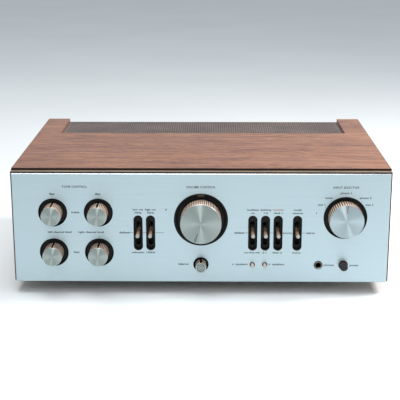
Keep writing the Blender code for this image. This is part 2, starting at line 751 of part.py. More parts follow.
def make_case():
    half = CASE_WIDTH / 2
    under = CASE_TOP - BOARD
    top = add_box("case_top_board", (-half, CASE_FRONT, under), (half, CASE_REAR, CASE_TOP), WALNUT)
    add_bevel(top, BOARD_EDGE)
    low = (-NOTCH_HALF_WIDTH, CASE_REAR - NOTCH_DEPTH, under - SPARE)
    high = (NOTCH_HALF_WIDTH, CASE_REAR + SPARE, CASE_TOP + SPARE)
    cut(top, add_box("vent_notch", low, high, cutter=True))
    for name, side in (("case_left_board", -1), ("case_right_board", 1)):
        inner, outer = sorted((side * (half - BOARD), side * half))
        low = (inner, CASE_FRONT, FOOT_HEIGHT)
        high = (outer, CASE_REAR, under - GAP)
        add_bevel(add_box(name, low, high, WALNUT), BOARD_EDGE)


def make_vent_grille():
    """A slotted cover in the notch of the top board, with a lip down over the rear panel."""
    half = NOTCH_HALF_WIDTH - GAP
    front = CASE_REAR - NOTCH_DEPTH + GAP
    rear = REAR_FACE + GAP + SHEET
    top = CASE_TOP - GRILLE_DROP
    grille = add_box("vent_grille", (-half, front, top - SHEET), (half, rear, top), VENT)
    lip_low = (-half, REAR_FACE + GAP, CASE_TOP - BOARD - VENT_LIP)
    lip_high = (half, rear, top - SHEET / 2)
    join(grille, add_box("vent_lip", lip_low, lip_high, cutter=True))
    slots = bmesh.new()
    pitch = 2 * half / (VENT_COLUMNS + 0.5)
    length = (rear - front) / VENT_ROWS - VENT_BRIDGE
    for row in range(VENT_ROWS):
        depth = front + (row + 0.5) * (rear - front) / VENT_ROWS
        for column in range(VENT_COLUMNS):
            x = -half + (column + 0.75) * pitch
            where = Matrix.Translation((x, FACE_Y + depth, top))
            bmesh.ops.create_cube(
                slots, size=1.0, matrix=where @ Matrix.Diagonal((VENT_SLOT, length, 4 * SHEET, 1))
            )
    cut(grille, add_object("vent_slots", mesh_from("vent_slots", slots), cutter=True))


def make_chassis_tray():
    """The folded bottom sheet: a floor with upright flanges along both sides."""
    half = CASE_WIDTH / 2 - BOARD - GAP
    low = (-half, CASE_FRONT, FOOT_HEIGHT)
    high = (half, CASE_REAR - TRAY_SHORTER, FOOT_HEIGHT + TRAY_FLANGE)
    tray = add_box("chassis_tray", low, high, STEEL)
    inner = half - SHEET
    low = (-inner, CASE_FRONT - SPARE, TRAY_FLOOR)
    high = (inner, CASE_REAR, FOOT_HEIGHT + 2 * TRAY_FLANGE)
    cut(tray, add_box("tray_channel", low, high, cutter=True))
    slots = bmesh.new()
    for depth in TRAY_SLOT_DEPTHS:
        for column in range(TRAY_SLOTS):
            x = (column - (TRAY_SLOTS - 1) / 2) * TRAY_SLOT_PITCH
            where = Matrix.Translation((x, FACE_Y + depth, FOOT_HEIGHT))
            bmesh.ops.create_cube(
                slots, size=1.0, matrix=where @ Matrix.Diagonal((*TRAY_SLOT, 4 * SHEET, 1))
            )
    cut(tray, add_object("tray_slots", mesh_from("tray_slots", slots), cutter=True))


def make_feet():
    height = FOOT_HEIGHT - GAP
    profile = [
        (0, height),
        (FOOT_TOP_RADIUS, height),
        (FOOT_RADIUS, FOOT_RIM),
        (FOOT_BASE_RADIUS, 0),
        (0, 0),
    ]
    mesh = turned_mesh("foot", profile)
    for row, depth in (("front", FOOT_FRONT), ("rear", CASE_REAR - FOOT_REAR_INSET)):
        for side, x in (("left", -FOOT_SIDE), ("right", FOOT_SIDE)):
            add_upright(f"foot_{row}_{side}", None, x, depth, 0, RUBBER, 24, mesh=mesh)


# ---------------------------------------------------------------- rear panel and its connectors


def rear_block(name, middle_x, size, material, outside=BLOCK_OUTSIDE):
    """A block that fills a window of the rear panel. size is (width, height)."""
    z = FOOT_HEIGHT + REAR_ROW_Z
    low = (middle_x - size[0] / 2, REAR_FACE - BLOCK_INSIDE, z - size[1] / 2)
    high = (middle_x + size[0] / 2, REAR_FACE + outside, z + size[1] / 2)
    return add_box(name, low, high, material)


def make_rear_panel():
    half = CASE_WIDTH / 2 - BOARD - SHEET - 2 * GAP
    low = (-half, REAR_FACE - SHEET, TRAY_FLOOR + GAP)
    high = (half, REAR_FACE, CASE_TOP - BOARD - GAP)
    panel = add_box("rear_panel", low, high, BLACK)
    middle = FOOT_HEIGHT + REAR_ROW_Z
    windows = (
        ("input_window", INPUT_MIDDLE, INPUT_BLOCK),
        ("speaker_window", SPEAKER_MIDDLE, SPEAKER_BLOCK),
        ("outlet_window", OUTLET_MIDDLE, OUTLET_BLOCK),
    )
    for name, x, (width, height) in windows:
        low = (x - width / 2 - GAP, REAR_FACE - 2 * SHEET, middle - height / 2 - GAP)
        high = (x + width / 2 + GAP, REAR_FACE + SHEET, middle + height / 2 + GAP)
        cut(panel, add_box(name, low, high, cutter=True))
    holes = HolePattern("rear_holes", REAR_FACE - 2 * SHEET, REAR_FACE + SHEET)
    holes.round(FUSE_PLACE, FUSE_RADIUS + GAP, 20)
    holes.round(GLAND_PLACE, GLAND_RADIUS + GAP, 20)
    holes.round(GROUND_PLACE, GROUND_RADIUS + GAP, 16)
    holes.cut_from(panel)


def make_input_jack_block():
    """Two rows of round input jacks on one insulating block."""
    block = rear_block("input_jack_block", INPUT_MIDDLE, INPUT_BLOCK, PLASTIC)
    mesh = turned_mesh("input_jack", peg(INPUT_RADIUS, REAR_FACE - BURIED, REAR_FACE + INPUT_REACH))
    for row in range(JACK_ROWS):
        for column in range(JACK_COLUMNS):
            x = INPUT_MIDDLE + (column - (JACK_COLUMNS - 1) / 2) * JACK_PITCH
            z = REAR_ROW_Z + (row - (JACK_ROWS - 1) / 2) * JACK_ROW_PITCH
            name = f"input_jack_{row}_{column}"
            join(block, add_turned(name, None, (x, z), steps=12, cutter=True, mesh=mesh))


def make_speaker_terminals():
    """Eight screw terminals on one insulating block, in two rows."""
    block = rear_block("speaker_terminal_block", SPEAKER_MIDDLE, SPEAKER_BLOCK, PLASTIC)
    post = peg(TERMINAL_RADIUS, REAR_FACE - BURIED, REAR_FACE + TERMINAL_REACH)
    mesh = turned_mesh("speaker_screw", post)
    for row in range(SPEAKER_ROWS):
        for column in range(SPEAKER_COLUMNS):
            x = SPEAKER_MIDDLE + (column - (SPEAKER_COLUMNS - 1) / 2) * SPEAKER_PITCH
            z = REAR_ROW_Z + (row - (SPEAKER_ROWS - 1) / 2) * SPEAKER_ROW_PITCH
            name = f"speaker_screw_{row}_{column}"
            join(block, add_turned(name, None, (x, z), steps=12, cutter=True, mesh=mesh))


def make_ac_outlets():
    """Three two-blade convenience outlets in one moulded block."""
    block = rear_block("ac_outlet_block", OUTLET_MIDDLE, OUTLET_BLOCK, PLASTIC, OUTLET_OUTSIDE)
    blades = bmesh.new()
    for row in (-1, 0, 1):
        for side in (-1, 1):
            spot = (OUTLET_MIDDLE + side * BLADE_SPACING / 2, REAR_ROW_Z + row * OUTLET_PITCH)
            where = Matrix.Translation(place(spot, REAR_FACE))
            bmesh.ops.create_cube(blades, size=1.0, matrix=where @ Matrix.Diagonal((*BLADE_SLOT, 1)))
    cut(block, add_object("outlet_blades", mesh_from("outlet_blades", blades), cutter=True))


def rear_fitting(name, spot, material, body, cap, reach, steps):
    """A turned fitting through the rear panel, with a wider cap outside."""
    profile = [
        (0, -(REAR_FACE - BLOCK_INSIDE)),
        (body, -(REAR_FACE - BLOCK_INSIDE)),
        (body, -(REAR_FACE + GAP)),
        (cap, -(REAR_FACE + GAP)),
        (cap - CAP_TAPER, -(REAR_FACE + reach)),
        (0, -(REAR_FACE + reach)),
    ]
    return add_turned(name, profile, spot, material, steps)


def make_rear_fittings():
    rear_fitting("fuse_holder", FUSE_PLACE, PLASTIC, FUSE_RADIUS, FUSE_CAP_RADIUS, FUSE_REACH, 20)
    rear_fitting(
        "ground_terminal", GROUND_PLACE, STEEL, GROUND_RADIUS, GROUND_CAP_RADIUS, GROUND_REACH, 16
    )
    reach = REAR_INSET + REAR_REACH
    gland = rear_fitting("cord_gland", GLAND_PLACE, PLASTIC, GLAND_RADIUS, GLAND_CAP_RADIUS, reach, 20)
    bore = peg(CORD_HOLE_RADIUS, REAR_FACE - 2 * BLOCK_INSIDE, REAR_FACE + 2 * reach)
    cut(gland, add_turned("gland_bore", bore, GLAND_PLACE, steps=16, cutter=True))


# ---------------------------------------------------------------- power supply, boards and heat sink


def make_transformer():
    """A laminated core with two windows, and a winding round its middle leg."""
    x, depth = TRANSFORMER_MIDDLE
    floor = TRAY_FLOOR + CORE_RAISE
    middle = floor + CORE_LEG + CORE_WINDOW / 2
    half = 3 * CORE_LEG
    low = (x - half, depth - CORE_STACK / 2, floor)
    high = (x + half, depth + CORE_STACK / 2, floor + 2 * CORE_LEG + CORE_WINDOW)
    core = add_box("transformer_core", low, high, BLACK)
    for side in (-1, 1):
        window_x = x + side * 1.5 * CORE_LEG
        low = (window_x - CORE_LEG / 2, depth - CORE_STACK, middle - CORE_WINDOW / 2)
        high = (window_x + CORE_LEG / 2, depth + CORE_STACK, middle + CORE_WINDOW / 2)
        cut(core, add_box(f"core_window_{side}", low, high, cutter=True))
    width = 2 * CORE_LEG - 2 * GAP
    height = CORE_WINDOW / 2 - GAP
    bulge = CORE_STACK / 2 + CORE_LEG
    low = (x - width, depth - bulge, middle - height)
    high = (x + width, depth + bulge, middle + height)
    winding = add_box("transformer_winding", low, high, COPPER)
    leg = CORE_LEG + GAP
    low = (x - leg, depth - CORE_STACK / 2 - GAP, middle - CORE_WINDOW)
    high = (x + leg, depth + CORE_STACK / 2 + GAP, middle + CORE_WINDOW)
    cut(winding, add_box("winding_leg", low, high, cutter=True))


def make_capacitors():
    """Two upright reservoir capacitors."""
    radius = CAPACITOR_RADIUS
    height = CAPACITOR_HEIGHT
    profile = [
        (0, height - CAPACITOR_RIM),
        (radius - 2 * CAPACITOR_RIM, height - CAPACITOR_RIM),
        (radius - CAPACITOR_RIM, height),
        (radius, height - CAPACITOR_RIM),
        (radius, 0),
        (0, 0),
    ]
    mesh = turned_mesh("capacitor", profile)
    for side, x in CAPACITOR_X.items():
        name = f"filter_capacitor_{side}"
        add_upright(name, None, x, CAPACITOR_DEPTH, TRAY_FLOOR + GAP, SLEEVE, 24, mesh=mesh)


def make_heat_sink():
    """A finned extrusion under the vent, fins upright so that air rises through them."""
    front, rear = SINK_DEPTHS
    low = (-SINK_HALF_WIDTH, front, TRAY_FLOOR + SINK_RAISE)
    high = (SINK_HALF_WIDTH, rear, TRAY_FLOOR + SINK_RAISE + SINK_HEIGHT)
    sink = add_box("heat_sink", low, high, BLACK)
    channels = bmesh.new()
    pitch = 2 * SINK_HALF_WIDTH / FINS
    channel = (pitch - FIN, rear - front, 2 * SINK_HEIGHT)
    for fin in range(FINS):
        x = -SINK_HALF_WIDTH + (fin + 0.5) * pitch
        y = FACE_Y + (front + rear) / 2 + SINK_BACK
        where = Matrix.Translation((x, y, (low[2] + high[2]) / 2))
        bmesh.ops.create_cube(channels, size=1.0, matrix=where @ Matrix.Diagonal((*channel, 1)))
    cut(sink, add_object("fin_channels", mesh_from("fin_channels", channels), cutter=True))


def make_circuit_board(name, extent, radius, height):
    """A flat board with a row of upright components joined to it."""
    x_from, x_to, front, rear = extent
    floor = TRAY_FLOOR + BOARD_RAISE
    top = floor + CIRCUIT_BOARD
    board = add_box(name, (x_from, front, floor), (x_to, rear, top), CIRCUIT_TAN)
    profile = [(0, height), (radius, height), (radius, -SPARE), (0, -SPARE)]
    mesh = turned_mesh(f"{name}_can", profile)
    depth = (front + rear) / 2
    for column in range(BOARD_CANS):
        x = x_from + (column + 0.5) * (x_to - x_from) / BOARD_CANS
        can = f"{name}_can_{column}"
        join(board, add_upright(can, None, x, depth, top, steps=12, cutter=True, mesh=mesh))


def make_boards():
    make_circuit_board("preamp_board", PREAMP_BOARD, radius=6 * MM, height=16 * MM)
    make_circuit_board("power_amp_board", POWER_AMP_BOARD, radius=5 * MM, height=20 * MM)


make_faceplate()
make_front_frame()
make_front_subpanel()
make_tone_controls()
make_volume_control()
make_volume_bezel()
make_balance_control()
make_selector()
make_levers()
make_switch_bank("filter_switch_bank", ("low_cut", "high_cut"))
make_switch_bank("tape_switch_bank", ("loudness", "dubbing", "monitor"))
make_switch_bank("mode_switch", ("mode",))
make_speaker_buttons()
make_power_switch()
make_headphone_jack()
make_case()
make_vent_grille()
make_chassis_tray()
make_feet()
make_rear_panel()
make_input_jack_block()
make_speaker_terminals()
make_ac_outlets()
make_rear_fittings()
make_transformer()
make_capacitors()
make_heat_sink()
make_boards()
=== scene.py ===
"""The looks of an integrated stereo amplifier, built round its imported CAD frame.

Measures are in millimetres, in the frame's own axes: +X to the right seen from the front, +Y to the rear,
+Z up. The functions that make Blender's data turn them into metres. Turned pieces are made round their own
Z axis. On the front that axis points to the viewer, so a profile's heights are in front of the faceplate;
on the rear it points backwards.
"""

import json
import math

import bmesh
import bpy
from mathutils import Matrix, Vector


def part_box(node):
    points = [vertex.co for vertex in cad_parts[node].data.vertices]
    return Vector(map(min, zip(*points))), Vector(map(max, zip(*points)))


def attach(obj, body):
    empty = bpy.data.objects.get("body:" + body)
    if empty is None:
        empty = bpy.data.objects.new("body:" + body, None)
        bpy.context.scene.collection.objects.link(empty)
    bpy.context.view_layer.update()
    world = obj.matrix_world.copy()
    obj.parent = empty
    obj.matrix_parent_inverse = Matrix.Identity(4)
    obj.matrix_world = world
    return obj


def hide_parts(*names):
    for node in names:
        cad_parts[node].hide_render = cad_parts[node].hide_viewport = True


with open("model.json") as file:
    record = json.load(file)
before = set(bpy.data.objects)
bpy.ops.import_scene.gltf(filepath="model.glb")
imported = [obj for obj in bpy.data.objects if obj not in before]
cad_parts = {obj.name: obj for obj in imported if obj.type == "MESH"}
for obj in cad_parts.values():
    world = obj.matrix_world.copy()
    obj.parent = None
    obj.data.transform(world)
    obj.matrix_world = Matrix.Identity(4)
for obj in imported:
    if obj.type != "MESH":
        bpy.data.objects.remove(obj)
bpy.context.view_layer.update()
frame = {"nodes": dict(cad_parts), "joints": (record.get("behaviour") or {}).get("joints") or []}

MM = 0.001


def box(node):
    """A CAD node's low and high corner."""
    low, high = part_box(node)
    return low / MM, high / MM


PANEL_LOW, PANEL_HIGH = box("faceplate")
FACE_Y = PANEL_LOW.y
PANEL_THICKNESS = PANEL_HIGH.y - PANEL_LOW.y
TOP_LOW, TOP_HIGH = box("case_top_board")
GRILLE_LOW, GRILLE_HIGH = box("vent_grille")
REAR_LOW, REAR_HIGH = box("rear_panel")
TRAY_LOW, TRAY_HIGH = box("chassis_tray")
SHEET = REAR_HIGH.y - REAR_LOW.y
GAP = 0.3  # left between pieces that face each other
AXES = {joint["child"]: Vector(joint["pos_m"]) / MM for joint in frame["joints"] if joint["type"] == "hinge"}

FRONTWARD = Matrix.Rotation(math.radians(90), 4, "X")  # turns local Z to face the viewer
REARWARD = Matrix.Rotation(math.radians(-90), 4, "X") @ Matrix.Rotation(math.pi, 4, "Z")
DOWNWARD = Matrix.Rotation(math.pi, 4, "X")
UPWARD = Matrix.Identity(4)

SHARP = math.radians(35)  # edges sharper than this stay crisp


def place(x, z):
    """A point on the faceplate: x from its middle, z above its bottom edge."""
    return Vector((x, FACE_Y, PANEL_LOW.z + z))


def middle_of(node):
    low, high = box(node)
    return (low + high) / 2


def front_measures(node):
    """A front piece's radius, its reach in front of the faceplate, its tail behind it, and its spot there."""
    low, high = box(node)
    return (high.x - low.x) / 2, FACE_Y - low.y, high.y - FACE_Y, on_plane(middle_of(node), FACE_Y)


def rear_measures(node):
    """A rear fitting's radius, its reach behind the rear panel, and its spot there."""
    low, high = box(node)
    return (high.x - low.x) / 2, high.y - REAR_HIGH.y, on_plane(middle_of(node), REAR_HIGH.y)


def on_plane(spot, y):
    return Vector((spot.x, y, spot.z))


# ---------------- finishes


class Finish:
    """A Principled material, and short calls that add nodes to it and wire them."""

    def __init__(self, name, color, roughness, metallic=0.0):
        self.material = bpy.data.materials.new(name)
        self.material.use_nodes = True
        self.tree = self.material.node_tree
        self.shader = self.tree.nodes["Principled BSDF"]
        self.set("Base Color", color)
        self.set("Roughness", roughness)
        self.set("Metallic", metallic)
        self.position = self.add("TexCoord", output="Object")

    def feed(self, socket, value):
        """Wires another node's output to a socket, or gives it a plain value or a colour."""
        if isinstance(value, bpy.types.NodeSocket):
            self.tree.links.new(value, socket)
        else:
            socket.default_value = (*value, 1.0) if socket.type == "RGBA" else value

    def set(self, name, value):
        self.feed(self.shader.inputs[name], value)

    def add(self, kind, inputs=None, output=0, **settings):
        """A new shader node with its settings and inputs. Returns one of its outputs."""
        node = self.tree.nodes.new("ShaderNode" + kind)
        for name, value in settings.items():
            setattr(node, name, value)
        for name, value in (inputs or {}).items():
            self.feed(node.inputs[name], value)
        return node.outputs[output]

    def stretched(self, cells, source=None):
        """The position in cells per metre: one number for all axes, or three."""
        scale = cells if isinstance(cells, tuple) else (cells, cells, cells)
        return self.add("Mapping", {"Scale": scale, "Vector": source or self.position})

    def noise(self, cells, detail=2.0, roughness=0.5, distortion=0.0, source=None):
        inputs = {"Scale": 1.0, "Detail": detail, "Roughness": roughness, "Distortion": distortion}
        inputs["Vector"] = self.stretched(cells, source)
        return self.add("TexNoise", inputs, "Fac")

    def remap(self, value, low, high, to_low=0.0, to_high=1.0):
        inputs = {"From Min": low, "From Max": high, "To Min": to_low, "To Max": to_high, "Value": value}
        return self.add("MapRange", inputs, "Result")

    def maths(self, operation, first, second):
        return self.add("Math", {0: first, 1: second}, operation=operation)

    def vectors(self, operation, inputs, output="Vector"):
        return self.add("VectorMath", inputs, output, operation=operation)

    def ramp(self, value, *stops):
        """A colour ramp through (place, colour) stops."""
        node = self.tree.nodes.new("ShaderNodeValToRGB")
        elements = node.color_ramp.elements
        while len(elements) < len(stops):
            elements.new(0.5)
        for element, (spot, color) in zip(elements, stops):
            element.position = spot
            element.color = (*color, 1.0)
        self.feed(node.inputs["Fac"], value)
        return node.outputs["Color"]

    def mix(self, amount, first, second):
        """Mixes two colours, each a colour tuple or a socket."""
        return self.add("Mix", {0: amount, 6: first, 7: second}, 2, data_type="RGBA")

    def tint(self, color, by, low, high, dark, light):
        """A colour that goes from dark to light, in parts of itself, while by goes from low to high."""
        return self.mix(self.remap(by, low, high), shade(color, dark), shade(color, light))

    def bump(self, height, strength, distance):
        inputs = {"Strength": strength, "Distance": distance * MM, "Height": height}
        self.set("Normal", self.add("Bump", inputs))

    def brushed(self, amount, tangent):
        """Anisotropic gloss of tool marks that run along the tangent."""
        self.set("Anisotropic", amount)
        self.set("Anisotropic Rotation", 0.25)
        self.set("Tangent", tangent)

    def wander(self, cells, reach):
        """The position, pushed about by up to half of reach metres, for figure that isn't dead straight."""
        inputs = {"Scale": cells, "Detail": 2.0, "Vector": self.position}
        drift = self.add("TexNoise", inputs, "Color")
        centred = self.vectors("SUBTRACT", {0: drift, 1: (0.5, 0.5, 0.5)})
        scaled = self.vectors("SCALE", {0: centred, "Scale": reach})
        return self.vectors("ADD", {0: self.position, 1: scaled})


def shade(color, factor):
    return tuple(channel * factor for channel in color)


def brushed_panel():
    """Pale anodised aluminium with fine horizontal brushing."""
    color = (0.49, 0.605, 0.65)
    finish = Finish("brushed_faceplate", color, 0.42, 1.0)
    fine = finish.noise((14, 14, 3600))
    broad = finish.noise((5, 5, 900), 3.0)
    cloud = finish.noise((5, 5, 9))
    streaks = finish.maths("ADD", finish.maths("MULTIPLY", fine, 0.7), finish.maths("MULTIPLY", broad, 0.3))
    lined = finish.tint(color, streaks, 0.36, 0.64, 0.94, 1.05)
    clouded = finish.remap(cloud, 0.35, 0.65, 0.0, 0.35)
    finish.set("Base Color", finish.mix(clouded, lined, shade(color, 0.96)))
    finish.set("Roughness", finish.remap(streaks, 0.35, 0.65, 0.36, 0.48))
    finish.bump(streaks, 0.08, 0.05)
    finish.brushed(0.5, finish.add("CombineXYZ", {"X": 1.0}))
    return finish.material


def spun_face(name, color):
    """A faced knob end: circular tool marks that spread the light into an hourglass."""
    finish = Finish(name, color, 0.40, 1.0)
    from_axis = finish.vectors("LENGTH", {0: finish.stretched((1, 1, 0))}, "Value")
    along = finish.add("CombineXYZ", {"X": finish.maths("MULTIPLY", from_axis, 5200)})
    rings = finish.noise(1, 3.0, source=along)
    finish.set("Base Color", finish.tint(color, rings, 0.35, 0.65, 0.93, 1.05))
    finish.bump(rings, 0.05, 0.03)
    finish.brushed(1.0, finish.add("Tangent", direction_type="RADIAL", axis="Z"))
    return finish.material


def satin_metal(name, color, roughness=0.3, spread=0.06, metallic=1.0):
    """Plain machined or plated metal with faint uneven gloss."""
    finish = Finish(name, color, roughness, metallic)
    grain = finish.noise(700, 3.0)
    finish.set("Base Color", finish.tint(color, finish.noise(40), 0.35, 0.65, 1 - spread, 1 + spread))
    finish.set("Roughness", finish.remap(grain, 0.3, 0.7, roughness - 0.05, roughness + 0.07))
    finish.bump(grain, 0.05, 0.04)
    return finish.material


def rolled_steel(name, color, roughness):
    """Zinc plated sheet with a faint rolling direction."""
    finish = Finish(name, color, roughness, 1.0)
    rolled = finish.noise((300, 12, 300))
    spangle = finish.noise(90, 1.0, distortion=1.2)
    tinted = finish.tint(color, spangle, 0.3, 0.7, 0.86, 1.08)
    finish.set("Base Color", finish.mix(finish.remap(rolled, 0.4, 0.6, 0.0, 0.4), tinted, shade(color, 0.95)))
    finish.set("Roughness", finish.remap(spangle, 0.3, 0.7, roughness - 0.06, roughness + 0.08))
    finish.bump(rolled, 0.05, 0.05)
    return finish.material


def painted(name, color, roughness, strength=0.15, metallic=0.0, gloss=0.5):
    """Satin paint or moulded plastic with a fine texture."""
    finish = Finish(name, color, roughness, metallic)
    finish.set("Specular IOR Level", gloss)
    grain = finish.noise(1400)
    finish.set("Base Color", finish.tint(color, finish.noise(25), 0.35, 0.65, 0.88, 1.15))
    finish.set("Roughness", finish.remap(grain, 0.3, 0.7, roughness - 0.06, roughness + 0.08))
    finish.bump(grain, strength, 0.06)
    return finish.material


def wood(name, along):
    """Reddish-brown veneer under satin lacquer, with streaks, wandering figure and fine dark pores."""
    finish = Finish(name, (0.28, 0.13, 0.09), 0.5)
    wandering = finish.wander(6.0, 0.024)

    def fibres(length, across, *settings):
        """Noise with so many cells per metre along the grain and across it."""
        cells = (length, across, across) if along == "X" else (across, length, across)
        return finish.noise(cells, *settings, source=wandering)

    figure = fibres(7, 130, 8.0, 0.85, 0.5)
    streak = fibres(18, 640, 4.0, 0.75)
    fleck = fibres(60, 480, 2.0, 0.6)
    patches = fibres(7, 22)
    grain = fibres(26, 900, 2.0, 0.6)
    pores = fibres(75, 1900, 1.0)
    dark = (0.142, 0.079, 0.071)
    middle = (0.238, 0.130, 0.103)
    light = (0.355, 0.174, 0.107)
    pale = (0.395, 0.240, 0.168)
    amber = (0.480, 0.235, 0.125)
    shadow = (0.075, 0.036, 0.038)
    base = finish.ramp(figure, (0.34, dark), (0.45, middle), (0.54, light), (0.66, pale))
    streaked = finish.remap(streak, 0.38, 0.56, 0.85, 0.0)
    depth = finish.maths("MULTIPLY", finish.remap(patches, 0.35, 0.65), streaked)
    lined = finish.mix(depth, base, shadow)
    flecked = finish.mix(finish.remap(fleck, 0.52, 0.68, 0.0, 0.45), lined, amber)
    grained = finish.mix(finish.remap(grain, 0.30, 0.60, 0.42, 0.0), flecked, shadow)
    pored = finish.mix(finish.remap(pores, 0.30, 0.40, 0.55, 0.0), grained, shade(shadow, 0.4))
    finish.set("Base Color", pored)
    finish.set("Roughness", finish.remap(grain, 0.3, 0.7, 0.52, 0.40))
    finish.set("Specular IOR Level", 0.3)
    finish.bump(pores, 0.12, 0.08)
    return finish.material


def circuit_board():
    """Phenolic board with copper tracks that show faintly through the mask."""
    finish = Finish("circuit_board", (0.28, 0.20, 0.08), 0.45)
    cells = {"Scale": 1.0, "Vector": finish.stretched(130)}
    settings = {"distance": "MANHATTAN", "feature": "DISTANCE_TO_EDGE"}
    tracks = finish.remap(finish.add("TexVoronoi", cells, "Distance", **settings), 0.04, 0.09)
    finish.set("Base Color", finish.mix(tracks, (0.16, 0.10, 0.035), (0.30, 0.21, 0.085)))
    finish.bump(tracks, 0.2, 0.05)
    return finish.material


def tape_winding():
    """Wound insulating tape, lapped in level turns."""
    finish = Finish("winding_tape", (0.45, 0.22, 0.06), 0.4)
    inputs = {"Scale": 60.0, "Distortion": 0.6, "Vector": finish.position}
    wave = finish.add("TexWave", inputs, "Fac", bands_direction="Z", wave_profile="SAW")
    finish.set("Base Color", finish.mix(wave, (0.36, 0.16, 0.04), (0.52, 0.27, 0.08)))
    finish.bump(wave, 0.3, 0.2)
    return finish.material


def pale_floor():
    color = (0.84, 0.87, 0.89)
    finish = Finish("pale_floor", color, 0.85)
    finish.set("Base Color", finish.tint(color, finish.noise(3), 0.3, 0.7, 0.98, 1.02))
    return finish.material


# The knob sides' warm champagne tint is a painted reflection of warm surroundings on the aluminium.
WARM_REFLECTION_TINT = (0.90, 0.68, 0.54)
PANEL = brushed_panel()
EDGE = satin_metal("polished_edge", (0.50, 0.515, 0.525), 0.28, spread=0.02)
# The faces' teal and blue tints are a painted reflection of blue surroundings on spun aluminium.
FACE = spun_face("spun_knob_face", (0.365, 0.425, 0.405))
SELECTOR_FACE = spun_face("spun_selector_face", (0.45, 0.55, 0.585))
SIDE = satin_metal("knurled_knob_side", WARM_REFLECTION_TINT, 0.36, metallic=0.1)
# Dark brown on the bottoms of the knurling: painted shade in its grooves.
KNURL_SHADE = satin_metal("knurl_painted_shade", shade(WARM_REFLECTION_TINT, 0.16), 0.5, metallic=0.3)
# The rim's teal-grey copies the faces' painted reflection of blue surroundings.
RIM = satin_metal("turned_knob_rim", (0.42, 0.45, 0.44), 0.36, spread=0.02)
LEVER_TIP = satin_metal("lever_tip", (0.45, 0.47, 0.45), 0.38, metallic=0.8)
LEVER_SIDE = satin_metal("lever_side", (0.50, 0.30, 0.20), 0.5, metallic=0.4)
GREY_COLLAR = satin_metal("lever_collar", (0.50, 0.44, 0.34), 0.5, metallic=0.3)
NICKEL = satin_metal("jack_ring", (0.30, 0.28, 0.24), 0.32)
BRONZE = satin_metal("bronze_frame", (0.36, 0.27, 0.20), 0.45, spread=0.12, metallic=0.6)
BLACK_PAINT = painted("black_paint", (0.010, 0.010, 0.011), 0.42)
# Near-black for black linings and paint, and also a painted shade in slits, grooves and holes.
BLACK_LINING_AND_SHADE = painted("black_lining_and_painted_shade", (0.0025, 0.0027, 0.003), 0.55, strength=0.05, gloss=0.08)
INNER_BLACK = painted("inner_black", (0.011, 0.011, 0.0112), 0.5, strength=0.05, gloss=0.2)
# The switch banks' black is lightened as painted light, because they sit deep behind the slots.
LIFTED_SWITCH_BLACK = painted("switch_black_painted_light", (0.034, 0.034, 0.034), 0.4, strength=0.05)
# A brownish glow for the upward walls at the slots' lower ends: painted light.
PAINTED_SLOT_LIGHT = painted("slot_floor", (0.050, 0.042, 0.030), 0.4, strength=0.05)
POWER_FACE = painted("power_button_face", (0.012, 0.013, 0.018), 0.34, strength=0.03, gloss=0.3)
# Reddish brown on the button's sides: a painted reflection on black plastic.
POWER_SIDE = painted("power_button_side", (0.062, 0.034, 0.030), 0.45, strength=0.03, gloss=0.2)
BLACK_PLASTIC = painted("black_plastic", (0.016, 0.016, 0.018), 0.38)
RING_PLASTIC = painted("ring_plastic", (0.0035, 0.0037, 0.004), 0.36, strength=0.03, gloss=0.2)
# The olive patch at the top of the volume bezel is a painted highlight.
PAINTED_BEZEL_HIGHLIGHT = painted("painted_bezel_highlight", (0.055, 0.048, 0.027), 0.5, gloss=0.3)
TEAL_PAINT = painted("teal_pointer", (0.045, 0.125, 0.145), 0.35, strength=0.03)
GREY_PAINT = painted("pointer_floor", (0.27, 0.30, 0.30), 0.4, strength=0.03)
BROWN_PAINT = painted("brown_pointer", (0.205, 0.195, 0.185), 0.4, strength=0.03)
INK = painted("legend_ink", (0.012, 0.020, 0.026), 0.5, strength=0.03, gloss=0.3)
RED_INK = painted("legend_red_ink", (0.360, 0.130, 0.110), 0.5, strength=0.03, gloss=0.3)
TOP_WOOD = wood("wood_veneer_top", "X")
SIDE_WOOD = wood("wood_veneer_side", "Y")
WOOD_EDGE = painted("stained_front_edge", (0.016, 0.007, 0.005), 0.5, gloss=0.25)
# The vent's grey-brown is black paint lightened by a painted reflection.
GRILLE = painted("vent_black_paint_and_sheen", (0.135, 0.106, 0.098), 0.5, metallic=0.2)
ZINC = rolled_steel("zinc_steel", (0.58, 0.58, 0.55), 0.32)
CHASSIS = rolled_steel("chassis_steel", (0.52, 0.51, 0.47), 0.36)
SCREW = satin_metal("screw_metal", (0.55, 0.54, 0.50), 0.28)
BLACK_SCREW = satin_metal("black_screw", (0.05, 0.05, 0.05), 0.35)
GOLD = satin_metal("jack_plating", (0.78, 0.72, 0.58), 0.2)
RUBBER = painted("foot_rubber", (0.018, 0.018, 0.018), 0.75, strength=0.3)
WHITE_INSERT = painted("white_insert", (0.72, 0.70, 0.66), 0.4)
RED_INSERT = painted("red_insert", (0.42, 0.03, 0.025), 0.35)
SLEEVE = painted("capacitor_sleeve", (0.015, 0.03, 0.11), 0.25, strength=0.05)
LAMINATION = painted("core_laminations", (0.03, 0.03, 0.032), 0.5)
BLACK_ANODISED = painted("black_anodised", (0.02, 0.02, 0.02), 0.35, metallic=0.6)
BOARD = circuit_board()
WINDING = tape_winding()

# ---------------- shapes


def put(name, data, turn=UPWARD, location=(0, 0, 0)):
    """A new object, turned and then placed."""
    obj = bpy.data.objects.new(name, data)
    bpy.context.scene.collection.objects.link(obj)
    obj.matrix_world = Matrix.Translation(Vector(location) * MM) @ turn
    return obj


def settle(obj, slot, body="root", *nodes):
    """Rides a piece on its body and hides the CAD nodes that it stands for. Its slot argument is not used."""
    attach(obj, body)
    if nodes:
        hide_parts(*nodes)
    return obj


